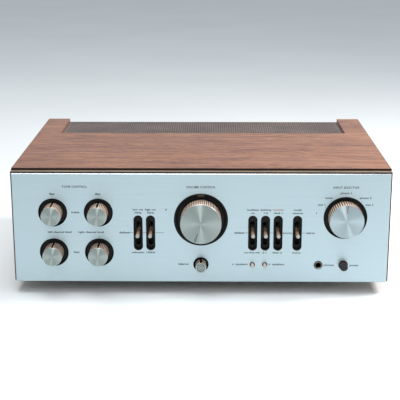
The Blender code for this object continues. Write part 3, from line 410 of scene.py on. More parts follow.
def keep_crisp(mesh, angle=SHARP):
    mesh.shade_smooth()
    mesh.set_sharp_from_angle(angle=angle)


def shaped(name, form, finishes, angle=SHARP):
    """The mesh of a bmesh, with its finishes and crisp edges."""
    mesh = bpy.data.meshes.new(name)
    form.to_mesh(mesh)
    form.free()
    for finish in finishes:
        mesh.materials.append(finish)
    keep_crisp(mesh, angle)
    return mesh


def lathe(name, bands, steps=48, radius_at=None, closed=False):
    """A turned mesh. bands holds (finish, [(radius, height), ...]): it covers what follows each point.

    radius_at(index, angle, radius) may change a point's radius, as for knurling.
    """
    profile = [(radius, height, finish) for finish, points in bands for radius, height in points]
    finishes = list(dict.fromkeys(finish for finish, _ in bands))
    form = bmesh.new()
    rings = []
    for index, (radius, height, _) in enumerate(profile):
        z = height * MM
        if radius == 0:
            rings.append([form.verts.new((0, 0, z))] * steps)
            continue
        ring = []
        for step in range(steps):
            angle = math.tau * step / steps
            reach = (radius_at(index, angle, radius) if radius_at else radius) * MM
            ring.append(form.verts.new((reach * math.cos(angle), reach * math.sin(angle), z)))
        rings.append(ring)
    pairs = list(zip(range(len(rings)), rings, rings[1:]))
    if closed:
        pairs.append((len(rings) - 1, rings[-1], rings[0]))
    for index, first, second in pairs:
        for step in range(steps):
            following = (step + 1) % steps
            corners = (first[step], second[step], second[following], first[following])
            face = form.faces.new(list(dict.fromkeys(corners)))
            face.material_index = finishes.index(profile[index][2])
    bmesh.ops.recalc_face_normals(form, faces=form.faces)
    return shaped(name, form, finishes)


def ridges(rows, teeth, depth, power=1):
    """A radius_at that cuts ridges into some points of a profile. A higher power makes the cuts narrower."""

    def radius_at(index, angle, plain):
        return plain - depth * (0.5 - 0.5 * math.cos(teeth * angle)) ** power if index in rows else plain

    return radius_at


def rounded_corner(radius, height, round_off, steps=4):
    """Profile points of a rounded rim whose outer corner would be (radius, height)."""
    turns = (math.radians(90) * step / steps for step in range(steps + 1))
    x, z = radius - round_off, height - round_off
    return [(x + round_off * math.sin(turn), z + round_off * math.cos(turn)) for turn in turns]


def turned(name, bands, turn, spot, slot, node, body="root", **cut):
    """A turned piece that stands for a CAD node."""
    return settle(put(name, lathe(name, bands, **cut), turn, spot), slot, body, node)


def repaint(mesh, finish, chosen):
    """Gives one more finish to the faces that chosen(centre, normal) picks."""
    mesh.materials.append(finish)
    index = len(mesh.materials) - 1
    for polygon in mesh.polygons:
        if chosen(polygon.center / MM, polygon.normal):
            polygon.material_index = index


def evaluated(obj):
    """The mesh that an object's curve, text or modifiers make."""
    bpy.context.view_layer.update()
    return bpy.data.meshes.new_from_object(obj.evaluated_get(bpy.context.evaluated_depsgraph_get()))


def curve_mesh(name, curve, finish):
    obj = put(name, curve)
    mesh = evaluated(obj)
    mesh.name = name
    bpy.data.objects.remove(obj)
    bpy.data.curves.remove(curve)
    mesh.materials.clear()
    mesh.materials.append(finish)
    return mesh


def carve(obj, *cutters):
    """Cuts pieces out of an object. The cut takes the cutter's finish."""
    for cutter in cutters:
        modifier = obj.modifiers.new(cutter.name, "BOOLEAN")
        modifier.operation = "DIFFERENCE"
        modifier.solver = "EXACT"
        modifier.material_mode = "TRANSFER"
        modifier.object = cutter
    mesh = evaluated(obj)
    obj.modifiers.clear()
    obj.data = mesh
    for cutter in cutters:
        bpy.data.objects.remove(cutter)
    keep_crisp(mesh)


def block(name, low, high, finish, bevel=0.0, segments=2):
    """A box with rounded edges, its mesh in the frame's own coordinates."""
    low, high = Vector(low) * MM, Vector(high) * MM
    stretch = Matrix.Translation((low + high) / 2) @ Matrix.Diagonal((*(high - low), 1))
    form = bmesh.new()
    bmesh.ops.create_cube(form, size=1.0, matrix=stretch)
    if bevel:
        edges = list(form.edges)
        bmesh.ops.bevel(
            form, geom=edges, offset=bevel * MM, segments=segments, profile=0.5, affect="EDGES"
        )
    return put(name, shaped(name, form, [finish], math.radians(50)))


def arc(x, y, radius, start, end, steps):
    """Points of an arc from start to end, in degrees."""
    turns = (math.radians(start + (end - start) * step / steps) for step in range(steps + 1))
    return [(x + radius * math.cos(turn), y + radius * math.sin(turn)) for turn in turns]


def upright_slot(x, y, radius, half_length, steps=24):
    stretch = half_length - radius
    return arc(x, y + stretch, radius, 0, 180, steps) + arc(x, y - stretch, radius, 180, 360, steps)


def rectangle(half_x, half_y):
    return [(-half_x, -half_y), (half_x, -half_y), (half_x, half_y), (-half_x, half_y)]


def flat_piece(name, outlines, thickness, finish, bevel=0.0, resolution=0):
    """A plate from outlines (the first is its edge, the others are holes), lying in local XY round Z = 0."""
    curve = bpy.data.curves.new(name, "CURVE")
    curve.dimensions = "2D"
    curve.fill_mode = "BOTH"
    curve.extrude = (thickness / 2 - bevel) * MM
    curve.bevel_depth = bevel * MM
    curve.bevel_resolution = resolution
    curve.offset = -bevel * MM
    for outline in outlines:
        spline = curve.splines.new("POLY")
        spline.points.add(len(outline) - 1)
        for point, (x, y) in zip(spline.points, outline):
            point.co = (x * MM, y * MM, 0, 1)
        spline.use_cyclic_u = True
    mesh = curve_mesh(name, curve, finish)
    form = bmesh.new()
    form.from_mesh(mesh)
    bmesh.ops.remove_doubles(form, verts=form.verts, dist=0.002 * MM)
    bmesh.ops.recalc_face_normals(form, faces=form.faces)
    form.to_mesh(mesh)
    form.free()
    keep_crisp(mesh)
    return mesh


def fixed(mesh, turn, location):
    """Moves a mesh's own points, so that its object can sit at the origin."""
    mesh.transform(Matrix.Translation(Vector(location) * MM) @ turn)
    return mesh


# ---------------- faceplate and its printed legends

EDGE_CHAMFER = 0.5
TONE_WELL = 16.9
VOLUME_WELL = 31.4
BALANCE_WELL = 9
SELECTOR_WELL = 25.25
SLOT_RADIUS = 5.3
SLOT_HALF_LENGTH = 21.3
SPEAKER_HOLE = 3.1
POWER_HOLE = 5.55
JACK_HOLE = 4.7
TONE_BODIES = ("treble_left", "treble_right", "bass_left", "bass_right")
LEVER_BODIES = ("low_cut", "high_cut", "loudness", "dubbing", "monitor", "mode")


def make_faceplate():
    """The brushed plate: chamfered edges, and round wells and upright slots lined in black, with painted
    light on the slots' lower ends.
    """
    middle = middle_of("faceplate")
    half = (PANEL_HIGH - PANEL_LOW) / 2
    wells = [(AXES[body], TONE_WELL) for body in TONE_BODIES]
    wells += [(AXES["volume"], VOLUME_WELL), (AXES["balance"], BALANCE_WELL)]
    wells.append((AXES["selector"], SELECTOR_WELL))
    wells += [(middle_of(f"{name}_button"), SPEAKER_HOLE) for name in ("speaker_a", "speaker_b")]
    wells.append((middle_of("power_button"), POWER_HOLE))
    slots = [AXES[body] for body in LEVER_BODIES]
    round_holes = [(spot, radius - EDGE_CHAMFER) for spot, radius in wells]
    slot_size = (SLOT_RADIUS - EDGE_CHAMFER, SLOT_HALF_LENGTH - EDGE_CHAMFER)
    outlines = [rectangle(half.x, half.z)]
    outlines += [circle_round(spot, middle, radius) for spot, radius in round_holes]
    outlines += [upright_slot(spot.x, spot.z - middle.z, *slot_size) for spot in slots]
    outlines.append(circle_round(middle_of("headphone_jack"), middle, JACK_HOLE))
    mesh = flat_piece("faceplate_brushed", outlines, PANEL_THICKNESS, PANEL, EDGE_CHAMFER)
    fixed(mesh, FRONTWARD, middle)
    margin = 0.1

    def in_a_hole(centre, normal):
        """On the wall or chamfer of a lined hole."""
        across = [(abs(centre.x - spot.x), abs(centre.z - spot.z)) for spot in slots]
        from_axes = [(math.hypot(centre.x - spot.x, centre.z - spot.z), radius) for spot, radius in wells]
        return abs(normal.y) < 0.95 and (
            any(distance < radius + margin for distance, radius in from_axes)
            or any(x < SLOT_RADIUS + margin and z < SLOT_HALF_LENGTH + margin for x, z in across)
        )

    def on_a_slot_floor(centre, normal):
        """On the rounded lower end of a lever's slot, which takes painted light where light falls on its
        upward wall.
        """
        return normal.z > 0.5 and any(
            abs(centre.x - spot.x) < SLOT_RADIUS and abs(centre.z - spot.z + SLOT_HALF_LENGTH) < SLOT_RADIUS
            for spot in slots
        )

    def on_the_edge(centre, normal):
        return abs(normal.y) < 0.95 and not in_a_hole(centre, normal)

    repaint(mesh, BLACK_LINING_AND_SHADE, in_a_hole)
    repaint(mesh, PAINTED_SLOT_LIGHT, on_a_slot_floor)
    repaint(mesh, EDGE, on_the_edge)
    settle(put("faceplate_brushed", mesh), "faceplate", "root", "faceplate")


def circle_round(spot, middle, radius, steps=96):
    """The outline of a hole round a spot, in a plate with that middle."""
    return arc(spot.x, spot.z - middle.z, radius, 0, 360, steps)[:-1]


HEADING = 3.5
SMALL = 3.35
SMALLER = SMALL * 0.92
WIDE = 1.2  # the small letters' width, beside the plain typeface's
BOLD = 0.075  # added to every side of a letter's strokes
PRINT_DEPTH = 0.03


def print_words(words, x, z, size=SMALL, finish=INK, wide=WIDE, tracking=1.0):
    """Plain sans-serif words, centred on (x, z)."""
    name = "legend_" + "".join(c if c.isalnum() else "_" for c in words.lower())
    text = bpy.data.curves.new(name, "FONT")
    text.body = words
    text.size = size * MM
    text.space_character = tracking
    text.align_x = "CENTER"
    text.align_y = "CENTER"
    text.resolution_u = 2
    text.offset = BOLD * MM
    text.extrude = PRINT_DEPTH * MM
    mesh = fixed(curve_mesh(name, text, finish), FRONTWARD @ Matrix.Diagonal((wide, 1, 1, 1)), place(x, z))
    return settle(put(name, mesh), "faceplate")


def print_bar(name, x, z, width, height):
    """A printed line or tick, with rounded ends."""
    radius = min(width, height) / 2
    low_x, high_x = x - width / 2 + radius, x + width / 2 - radius
    low_z, high_z = z - height / 2 + radius, z + height / 2 - radius
    outline = arc(high_x, high_z, radius, 0, 90, 4) + arc(low_x, high_z, radius, 90, 180, 4)
    outline += arc(low_x, low_z, radius, 180, 270, 4) + arc(high_x, low_z, radius, 270, 360, 4)
    mesh = fixed(flat_piece(name, [outline], 2 * PRINT_DEPTH, INK), FRONTWARD, place(0, 0))
    settle(put(name, mesh), "faceplate")


def make_legends():
    """Generic function words, ticks and lines beside the controls."""
    for words, x, z in (
        ("TONE CONTROL", -145.5, 115.4),
        ("VOLUME CONTROL", 0, 115.1),
        ("INPUT SELECTOR", 166.6, 115.0),
    ):
        print_words(words, x, z, HEADING, wide=1.0, tracking=1.1)
    for side, x in (("left", -171.8), ("right", -118.9)):
        print_words("flat", x, 106.7, wide=1.42).name = f"legend_flat_{side}"
        print_bar(f"tick_treble_{side}", x, 103.1, 0.55, 1.1)
        print_bar(f"tick_bass_{side}", x, 54.9, 0.55, 1.1)
    print_words("treble", -145.5, 84.8)
    print_words("bass", -145.5, 36.4)
    print_words("left channel level", -164.3, 60.8, SMALLER, wide=1.34)
    print_words("right channel level", -128.0, 60.8, SMALLER, wide=1.34)
    print_words("balance", -20.5, 22.0)
    print_bar("tick_balance", 0, 33.4, 0.4, 1.1)
    for body, upper, lower in (
        ("low_cut", "70Hz", "subsonic"),
        ("high_cut", "7kHz", "10kHz"),
        ("loudness", "on", "low freq only"),
        ("dubbing", "1-2", "2-1"),
        ("monitor", "deck 1", "deck 2"),
        ("mode", "reverse", "mono"),
    ):
        x = AXES[body].x
        ink = RED_INK if body == "monitor" else INK
        print_words(body.replace("_", " "), x, 88.2, SMALLER, ink, wide=1.28)
        print_words(upper, x, 84.3, SMALLER, wide=1.28)
        long_words = len(lower) > 8
        print_words(lower, x - 0.5, 36.2, SMALL * 0.76 if long_words else SMALLER, wide=1.34)
    middle = 60.4
    print_words("defeat", -89.2, middle, wide=1.4).name = "legend_defeat_filters"
    print_words("defeat", 44.5, middle, wide=1.4).name = "legend_defeat_loudness"
    print_words("source", 100.4, middle, SMALL * 0.9, wide=1.3)
    print_words("stereo", 127.3, middle)
    lines = ((-83.9, -78.6), (-67.4, -64.1), (-52.9, -43.1), (50.6, 54.6), (80.3, 84.0), (117.4, 121.0))
    for number, (start, end) in enumerate(lines, 1):
        print_bar(f"line_{number}", (start + end) / 2, middle, end - start, 0.4)
    print_bar("mark_filters", -40.4, 88.3, 1.5, 2.0)
    print_bar("mark_mode", 133.4, 84.4, 0.8, 1.9)
    print_words("a  speakers", 45.6, 21.9)
    print_words("b  speakers", 88.4, 21.9)
    print_words("phones", 149.8, 21.2)
    print_words("power", 179.2, 21.0)
    axis = AXES["selector"]
    axis_height = axis.z - PANEL_LOW.z
    reach = SELECTOR_WELL + 1.4
    for words, across, above, width, height in (
        ("phono 1", 0, 29.7, 0.5, 1.1),
        ("tuner", -19.6, 24.0, 1.1, 0.5),
        ("phono 2", 22.4, 24.0, 1.1, 0.5),
        ("aux 1", -27.6, 15.9, 1.1, 0.5),
        ("aux 2", 27.2, 15.9, 1.1, 0.5),
    ):
        print_words(words, axis.x + across, axis_height + above)
        turn = math.atan2(across, above)
        tick_x, tick_z = axis.x + reach * math.sin(turn), axis_height + reach * math.cos(turn)
        print_bar(f"tick_{words.replace(' ', '_')}", tick_x, tick_z, width, height)


# ---------------- knobs

KNOB_REAR = 2.5
BORE = 3.3
BORE_END = 8.3
LAND = 0.7  # the plain band between a knob's chamfer and its knurling


def knob(name, body, chamfer, teeth, depth, face, groove=0.0, marks=()):
    """A knurled knob with a spun face, and an optional dark groove along its side at 12 o'clock.

    chamfer is (width, depth) of the rim. marks holds turned rings in the face: (radius, height, finish).
    """
    radius, reach, _, _ = front_measures(f"{body}_knob")
    flat = radius - chamfer[0]
    shoulder = reach - chamfer[1]
    bands = [(face, [(0, reach)])]
    bands += [(mark_face, [(mark_radius, reach + rise)]) for mark_radius, rise, mark_face in marks]
    side = [shoulder, shoulder - LAND, shoulder - LAND - 0.3, 0.7 - KNOB_REAR]
    bands += [
        (RIM, [(flat, reach), (flat + 0.2, reach - 0.05), (radius - 0.2, shoulder + 0.12)]),
        (SIDE, [(radius, height) for height in side]),
        (BLACK_LINING_AND_SHADE, [(radius - 0.7, -KNOB_REAR), (BORE, -KNOB_REAR), (BORE, BORE_END), (0, BORE_END)]),
    ]
    rim_end = len(marks) + 4
    knurled = ridges((rim_end + 2, rim_end + 3), teeth, depth, 2)
    groove_half = math.asin(groove / 2 / radius)

    def radius_at(index, angle, plain):
        if abs(angle - math.radians(90)) < groove_half and rim_end <= index <= rim_end + 4:
            return radius - 0.9
        return knurled(index, angle, plain)

    mesh = lathe(name, bands, teeth * 10, radius_at)

    def in_the_shaded_knurling(centre, normal):
        return BORE < math.hypot(centre.x, centre.y) < radius - depth * 0.22 and abs(normal.z) < 0.5

    def in_the_groove(centre, normal):
        return abs(centre.x) < groove * 0.55 and centre.y > radius - 1.2 and centre.z < shoulder

    # The knurling's groove faces take a painted shade.
    repaint(mesh, KNURL_SHADE, in_the_shaded_knurling)
    if groove:
        repaint(mesh, BLACK_LINING_AND_SHADE, in_the_groove)
    return put(name, mesh, FRONTWARD, AXES[body])


def cut_pointer(piece, body, inner, outer, widths, turn, finish):
    """Mills a pointer into a knob's face, between two radii and turned clockwise from 12 o'clock.

    widths holds its widths at the inner and outer end. It has a bright shallow margin and a paler floor.
    """
    _, reach, _, _ = front_measures(f"{body}_knob")
    direction = FRONTWARD @ Matrix.Rotation(-math.radians(turn), 4, "Z")
    margin = 0.35
    inset = widths[0] / 3
    cutters = []
    for part, growth, (first, last), depth, paint in (
        ("margin", margin, [width + 2 * margin for width in widths], 0.08, EDGE),
        ("pointer", 0, widths, 0.5, finish),
        ("floor", -inset, [width * 0.35 for width in widths], 0.55, GREY_PAINT),
    ):
        outline = arc(0, outer + growth - last / 2, last / 2, 0, 180, 12)
        outline += arc(0, inner - growth + first / 2, first / 2, 180, 360, 12)
        name = f"{body}_{part}"
        mesh = flat_piece(name, [outline], 2 * depth, paint)
        cutters.append(put(name, mesh, direction, AXES[body] + Vector((0, -reach, 0))))
    carve(piece, *cutters)


def make_knobs():
    for body in TONE_BODIES:
        piece = knob(f"{body}_knob_turned", body, (0.7, 0.5), 36, 0.5, FACE, groove=1.5)
        settle(piece, "spun_knob", body, f"{body}_knob")
    piece = knob("volume_knob_turned", "volume", (0.6, 0.5), 66, 0.6, FACE)
    cut_pointer(piece, "volume", 11.4, 22.6, (1.9, 3.1), -161.4, TEAL_PAINT)
    settle(piece, "spun_knob", "volume", "volume_knob")
    piece = knob("selector_knob_turned", "selector", (0.5, 0.5), 46, 0.75, SELECTOR_FACE)
    cut_pointer(piece, "selector", 9.6, 19.5, (1.8, 3.2), 0, BROWN_PAINT)
    settle(piece, "spun_knob", "selector", "selector_knob")
    # The balance face's dark rings are painted shade in its turned grooves.
    rings = [(1.4, 0, BLACK_LINING_AND_SHADE), (1.65, -0.3, BLACK_LINING_AND_SHADE), (1.9, 0, FACE)]
    rings += [(3.6, 0, BLACK_LINING_AND_SHADE), (3.95, -0.4, BLACK_LINING_AND_SHADE), (4.3, 0, FACE)]
    piece = knob("balance_knob_turned", "balance", (0.4, 0.4), 44, 0.25, FACE, 1.9, rings)
    settle(piece, "spun_knob", "balance", "balance_knob")


def make_volume_bezel():
    """The stepped black ring in the volume well, with a small olive patch at the top: a painted highlight for
    light on its glossy wall.
    """
    outer = VOLUME_WELL - EDGE_CHAMFER - 0.15
    rear = box("front_subpanel")[0].y - FACE_Y - GAP
    steps = [(0, -0.9), (1.5, -0.9), (1.9, -1.3), (1.9, -2.3), (3.4, -2.6), (3.8, -3.0), (3.8, -4.0)]
    steps += [(6.0, -4.3), (6.2, -4.5), (6.2, -rear), (0, -rear)]
    points = [(outer - inward, height) for inward, height in steps]
    bands = [(RING_PLASTIC, points)]
    spot = AXES["volume"]
    cut = {"steps": 144, "closed": True}
    turned("volume_bezel_ring", bands, FRONTWARD, spot, "black_plastic", "volume_bezel", **cut)
    # The olive patch is a painted highlight at 12 o'clock on the ring.
    half_turn = 7.5
    outline = arc(0, 0, outer - 0.2, 90 - half_turn, 90 + half_turn, 8)
    outline += arc(0, 0, outer - 3.3, 90 + half_turn, 90 - half_turn, 8)
    mesh = flat_piece("volume_bezel_painted_highlight", [outline], 1.8, PAINTED_BEZEL_HIGHLIGHT, 0.15, 1)
    settle(put("volume_bezel_painted_highlight", mesh, FRONTWARD, spot + Vector((0, 1.7, 0))), "black_plastic")


# ---------------- levers, buttons and headphone jack


def make_levers():
    """Six turned bat levers with a dimple in the tip, a long taper and a grey collar behind the slot."""
    _, reach, tail, _ = front_measures("low_cut_lever")
    tip = 2.2
    root = 1.85
    dimple = [(0, reach - 0.55), (0.5, reach - 0.5), (0.95, reach - 0.1), (1.2, reach)]
    collar = [(2.2, -13.6), (2.4, -13.9), (2.4, -15.7)]
    bands = [
        (LEVER_TIP, dimple + rounded_corner(tip, reach, 0.7)),
        (LEVER_SIDE, [(tip, reach - 1.2), (tip - 0.08, reach - 3.4), (root, -6)]),
        (GREY_COLLAR, [(root, -13.4), *collar, (root, -16), (root, -tail), (0, -tail)]),
    ]
    mesh = lathe("lever_turned", bands, 40)
    for body in LEVER_BODIES:
        lever = put(f"{body}_lever_turned", mesh, FRONTWARD, on_plane(AXES[body], FACE_Y))
        settle(lever, "lever_metal", body, f"{body}_lever")


def button_bands(radius, reach, shoulder, stem, tail, head, side, dish):
    """A push button: rounded rim, slightly dished end, and a thinner stem behind its shoulder."""
    rim = rounded_corner(radius, reach, min(0.45, radius * 0.25))
    shank = [(radius, reach - 1.1), (radius, -shoulder), (stem, -shoulder - 0.3), (stem, -tail), (0, -tail)]
    return [(head, [(0, reach - dish), (radius * 0.45, reach - dish * 0.8), *rim]), (side, shank)]


def make_buttons():
    radius, reach, tail, _ = front_measures("speaker_a_button")
    bands = button_bands(radius, reach, 8, radius - 0.4, tail, LEVER_TIP, SIDE, 0.12)
    mesh = lathe("speaker_button_turned", bands, 36)
    for body in ("speaker_a", "speaker_b"):
        spot = on_plane(middle_of(f"{body}_button"), FACE_Y)
        settle(put(f"{body}_button_turned", mesh, FRONTWARD, spot), "spun_knob", body, f"{body}_button")
    radius, reach, tail, spot = front_measures("power_button")
    bands = button_bands(radius, reach, 9, 2.5, tail, POWER_FACE, POWER_SIDE, 0.35)
    turned("power_button_turned", bands, FRONTWARD, spot, "black_plastic", "power_button", "power", steps=64)


def make_headphone_jack():
    """A bright ring nut round a black socket with a stepped contact bore."""
    body, front, rear, spot = front_measures("headphone_jack")
    nose = 4.3
    bore = 3.2
    contact = bore * 0.8
    shoulder = -PANEL_THICKNESS - 2.5
    bands = [
        (BLACK_LINING_AND_SHADE, [(0, 2 - rear), (contact, 2 - rear), (contact, -4), (bore, -3.5)]),
        (NICKEL, [(bore, front - 0.6), (bore + 0.5, front), (nose - 0.3, front)]),
        (BLACK_PLASTIC, [(nose - 0.1, front - 0.15), (nose, front - 0.45), (nose, shoulder)]),
        (BLACK_PLASTIC, [(body, shoulder), (body, -rear), (0, -rear)]),
    ]
    turned("headphone_jack_turned", bands, FRONTWARD, spot, "jack_metal", "headphone_jack", steps=64)


# ---------------- frame, case, vent and feet


def make_front_frame():
    """The bronze surround between the faceplate and the case, black on its front face."""
    low, high = box("front_frame")
    half = (high - low) / 2
    wall = 4
    outlines = [rectangle(half.x, half.z), rectangle(half.x - wall, half.z - wall)]
    mesh = flat_piece("front_frame_bronze", outlines, high.y - low.y, BRONZE, 0.25, 1)
    fixed(mesh, FRONTWARD, middle_of("front_frame"))
    repaint(mesh, BLACK_PAINT, lambda centre, normal: normal.y < -0.9)
    settle(put("front_frame_bronze", mesh), "front_frame", "root", "front_frame")


def make_case():
    """The three veneered boards, with softly broken edges."""
    notch_x = GRILLE_HIGH.x + GAP
    notch_y = GRILLE_LOW.y - GAP
    outline = [(TOP_LOW.x, TOP_LOW.y), (TOP_HIGH.x, TOP_LOW.y), (TOP_HIGH.x, TOP_HIGH.y)]
    outline += [(notch_x, TOP_HIGH.y), (notch_x, notch_y), (-notch_x, notch_y), (-notch_x, TOP_HIGH.y)]
    outline.append((TOP_LOW.x, TOP_HIGH.y))
    mesh = flat_piece("case_top_veneered", [outline], TOP_HIGH.z - TOP_LOW.z, TOP_WOOD, 0.45, 2)
    fixed(mesh, UPWARD, (0, 0, (TOP_LOW.z + TOP_HIGH.z) / 2))
    repaint(mesh, WOOD_EDGE, lambda centre, normal: normal.y < -0.6 and centre.y < TOP_LOW.y + 1)
    settle(put("case_top_veneered", mesh), "wood_veneer", "root", "case_top_board")
    for side in ("left", "right"):
        node = f"case_{side}_board"
        board = block(f"case_{side}_veneered", *box(node), SIDE_WOOD, 0.5, 3)
        settle(board, "wood_veneer", "root", node)


HOLE_PITCH = 3.0
HOLE_RADIUS = 0.8
SHEET_BORDER = 4  # the least width of plain sheet round the holes


def ruled(low, high):
    """Lines HOLE_PITCH apart, as many as fit inside the border, and the two ends."""
    count = int((high - low - 2 * SHEET_BORDER) / HOLE_PITCH)
    start = (low + high - count * HOLE_PITCH) / 2
    return [low] + [start + number * HOLE_PITCH for number in range(count + 1)] + [high]


def perforated_sheet(name, low, high, finish):
    """A sheet full of round holes in straight rows, with a plain border. Its top lies at Z = 0."""
    form = bmesh.new()
    xs = ruled(low.x, high.x)
    ys = ruled(low.y, high.y)
    grid = {}

    def vertex(x, y):
        return form.verts.new((x * MM, y * MM, 0))

    def crossing(x, y):
        key = (round(x, 4), round(y, 4))
        if key not in grid:
            grid[key] = vertex(x, y)
        return grid[key]

    for i, (x0, x1) in enumerate(zip(xs, xs[1:])):
        for j, (y0, y1) in enumerate(zip(ys, ys[1:])):
            corners = [crossing(x, y) for x, y in ((x1, y1), (x0, y1), (x0, y0), (x1, y0))]
            if not (0 < i < len(xs) - 2 and 0 < j < len(ys) - 2):
                form.faces.new(corners)
                continue
            rim = arc((x0 + x1) / 2, (y0 + y1) / 2, HOLE_RADIUS, 45, 405, 8)[:-1]
            ring = [vertex(x, y) for x, y in rim]
            for side in range(4):
                edge = [ring[(2 * side + step) % 8] for step in (2, 1, 0)]
                form.faces.new([corners[side], corners[(side + 1) % 4], *edge])
    made = bmesh.ops.extrude_face_region(form, geom=list(form.faces))
    for item in made["geom"]:
        if isinstance(item, bmesh.types.BMVert):
            item.co.z -= SHEET * MM
    bmesh.ops.recalc_face_normals(form, faces=form.faces)
    return shaped(name, form, [finish])


def make_vent():
    """The perforated cover in the notch, with its folded lip over the rear panel."""
    mesh = perforated_sheet("vent_perforated", GRILLE_LOW, GRILLE_HIGH, GRILLE)
    fixed(mesh, UPWARD, (0, 0, GRILLE_HIGH.z))
    settle(put("vent_perforated", mesh), "vent_steel", "root", "vent_grille")
    low = (GRILLE_LOW.x, GRILLE_HIGH.y - SHEET, GRILLE_LOW.z)
    high = (GRILLE_HIGH.x, GRILLE_HIGH.y, GRILLE_HIGH.z - SHEET)
    settle(block("vent_lip", low, high, GRILLE, 0.25), "vent_steel")


def pan_screw(name, radius, finish):
    """A cross-recessed pan-head screw, its head's underside at height 0."""
    height = radius * 0.62
    points = [(0, height), (radius * 0.45, height * 0.97), (radius * 0.8, height * 0.72)]
    points += [(radius * 0.97, height * 0.35), (radius, 0.05), (radius, 0), (0, 0)]
    screw = put(name, lathe(name, [(finish, points)], 24))
    arm = radius * 0.55
    half_slit = radius * 0.11
    cutters = []
    for turn in (0, 90):
        low, high = (-arm, -half_slit, height * 0.45), (arm, half_slit, height * 1.5)
        # The cross recess takes the near-black finish: painted shade in the slits.
        slit = block(f"{name}_slit_{turn}", low, high, BLACK_LINING_AND_SHADE)
        slit.matrix_world = Matrix.Rotation(math.radians(turn), 4, "Z")
        cutters.append(slit)
    carve(screw, *cutters)
    mesh = screw.data
    bpy.data.objects.remove(screw)
    return mesh


def make_feet():
    """Four rubber feet with a grooved rim, each held by a screw in its recess."""
    screw = pan_screw("foot_screw", 3.6, SCREW)
    recess = 6
    recess_depth = 5
    for node in ("foot_front_left", "foot_front_right", "foot_rear_left", "foot_rear_right"):
        low, high = box(node)
        middle = middle_of(node)
        top = high.z - low.z
        wide = (high.x - low.x) / 2
        points = [(0, top), (wide - 3.4, top), (wide - 2.9, top - 0.5)]
        points += [(wide - 1.4, 6.2), (wide - 2.2, 5.7), (wide - 2.2, 4.9), (wide - 0.6, 4.4)]
        points += [(wide, 2.6), (wide - 0.4, 1.0), (wide - 2.4, 0)]
        points += [(recess + 0.6, 0), (recess, 0.6), (recess, recess_depth), (0, recess_depth)]
        spot = (middle.x, middle.y, low.z)
        turned(f"{node}_rubber", [(RUBBER, points)], UPWARD, spot, "foot_rubber", node, steps=72)
        head = put(f"{node}_screw", screw, DOWNWARD, (middle.x, middle.y, low.z + recess_depth))
        settle(head, "zinc_steel")


def make_screws():
    """Screws of the rear panel and of the bottom tray."""
    rear = pan_screw("rear_screw", 3.2, BLACK_SCREW)
    inset = 7
    heights = (REAR_LOW.z + inset, REAR_HIGH.z - inset)
    spots = [(x, z) for x in (REAR_LOW.x + inset, REAR_HIGH.x - inset) for z in heights]
    spots += [(x, REAR_LOW.z + inset) for x in (-70, 70)]
    spots += [(x, REAR_HIGH.z - inset - 5) for x in (-24, 105)]
    for number, (x, z) in enumerate(spots, 1):
        settle(put(f"rear_screw_{number}", rear, REARWARD, (x, REAR_HIGH.y, z)), "zinc_steel")
    tray = pan_screw("tray_screw", 3.2, SCREW)
    edge = 9
    front, back = TRAY_LOW.y + edge, TRAY_HIGH.y - edge
    rows = (front, (TRAY_LOW.y + TRAY_HIGH.y) / 2, back)
    spots = [(x, y) for x in (TRAY_LOW.x + edge, TRAY_HIGH.x - edge) for y in rows]
    spots += [(x, y) for x in (-60, 60) for y in (front, back)]
    for number, (x, y) in enumerate(spots, 1):
        settle(put(f"tray_screw_{number}", tray, DOWNWARD, (x, y, TRAY_LOW.z)), "zinc_steel")


# ---------------- rear connectors

STEM_DEPTH = 14  # how far the fuse holder, ground terminal and cord gland go in behind the rear panel
CLEARANCE = 0.3  # between those three and the rear panel's face


def connector_plate(name, node):
    """The plastic plate of a block of connectors. Returns the block's box, its face and the reach past it."""
    low, high = box(node)
    face = REAR_HIGH.y + 2
    plate = block(name, low, (high.x, face, high.z), BLACK_PLASTIC, 0.4)
    settle(plate, "black_plastic", "root", node)
    return low, high, face, high.y - face


def make_input_jacks():
    """Two rows of phono sockets: plated sleeve, coloured insulator, centre contact."""
    low, high, face, reach = connector_plate("input_jack_plate", "input_jack_block")
    columns = 8
    pitch = (high.x - low.x) / columns
    row_pitch = 22
    sleeve = [(3.3, reach - 1.0), (3.4, reach - 0.2), (3.7, reach), (4.0, reach), (4.15, reach - 0.2)]
    flange = [(4.15, 1.6), (6.0, 1.4), (6.2, 1.1), (6.2, 0.0), (0, 0.0)]
    for row, (tint, finish) in enumerate((("red", RED_INSERT), ("white", WHITE_INSERT))):
        bands = [
            # A near-black floor inside the centre contact: painted shade.
            (BLACK_LINING_AND_SHADE, [(0, 1.0)]),
            (GOLD, [(1.6, 1.0), (1.6, reach - 1.2)]),
            (finish, [(1.9, reach - 1.0)]),
            (GOLD, sleeve + flange),
        ]
        mesh = lathe(f"phono_socket_{tint}", bands, 40)
        z = (low.z + high.z) / 2 + (row - 0.5) * row_pitch
        for column in range(columns):
            spot = (low.x + (column + 0.5) * pitch, face, z)
            settle(put(f"phono_socket_{tint}_{column + 1}", mesh, REARWARD, spot), "jack_metal")


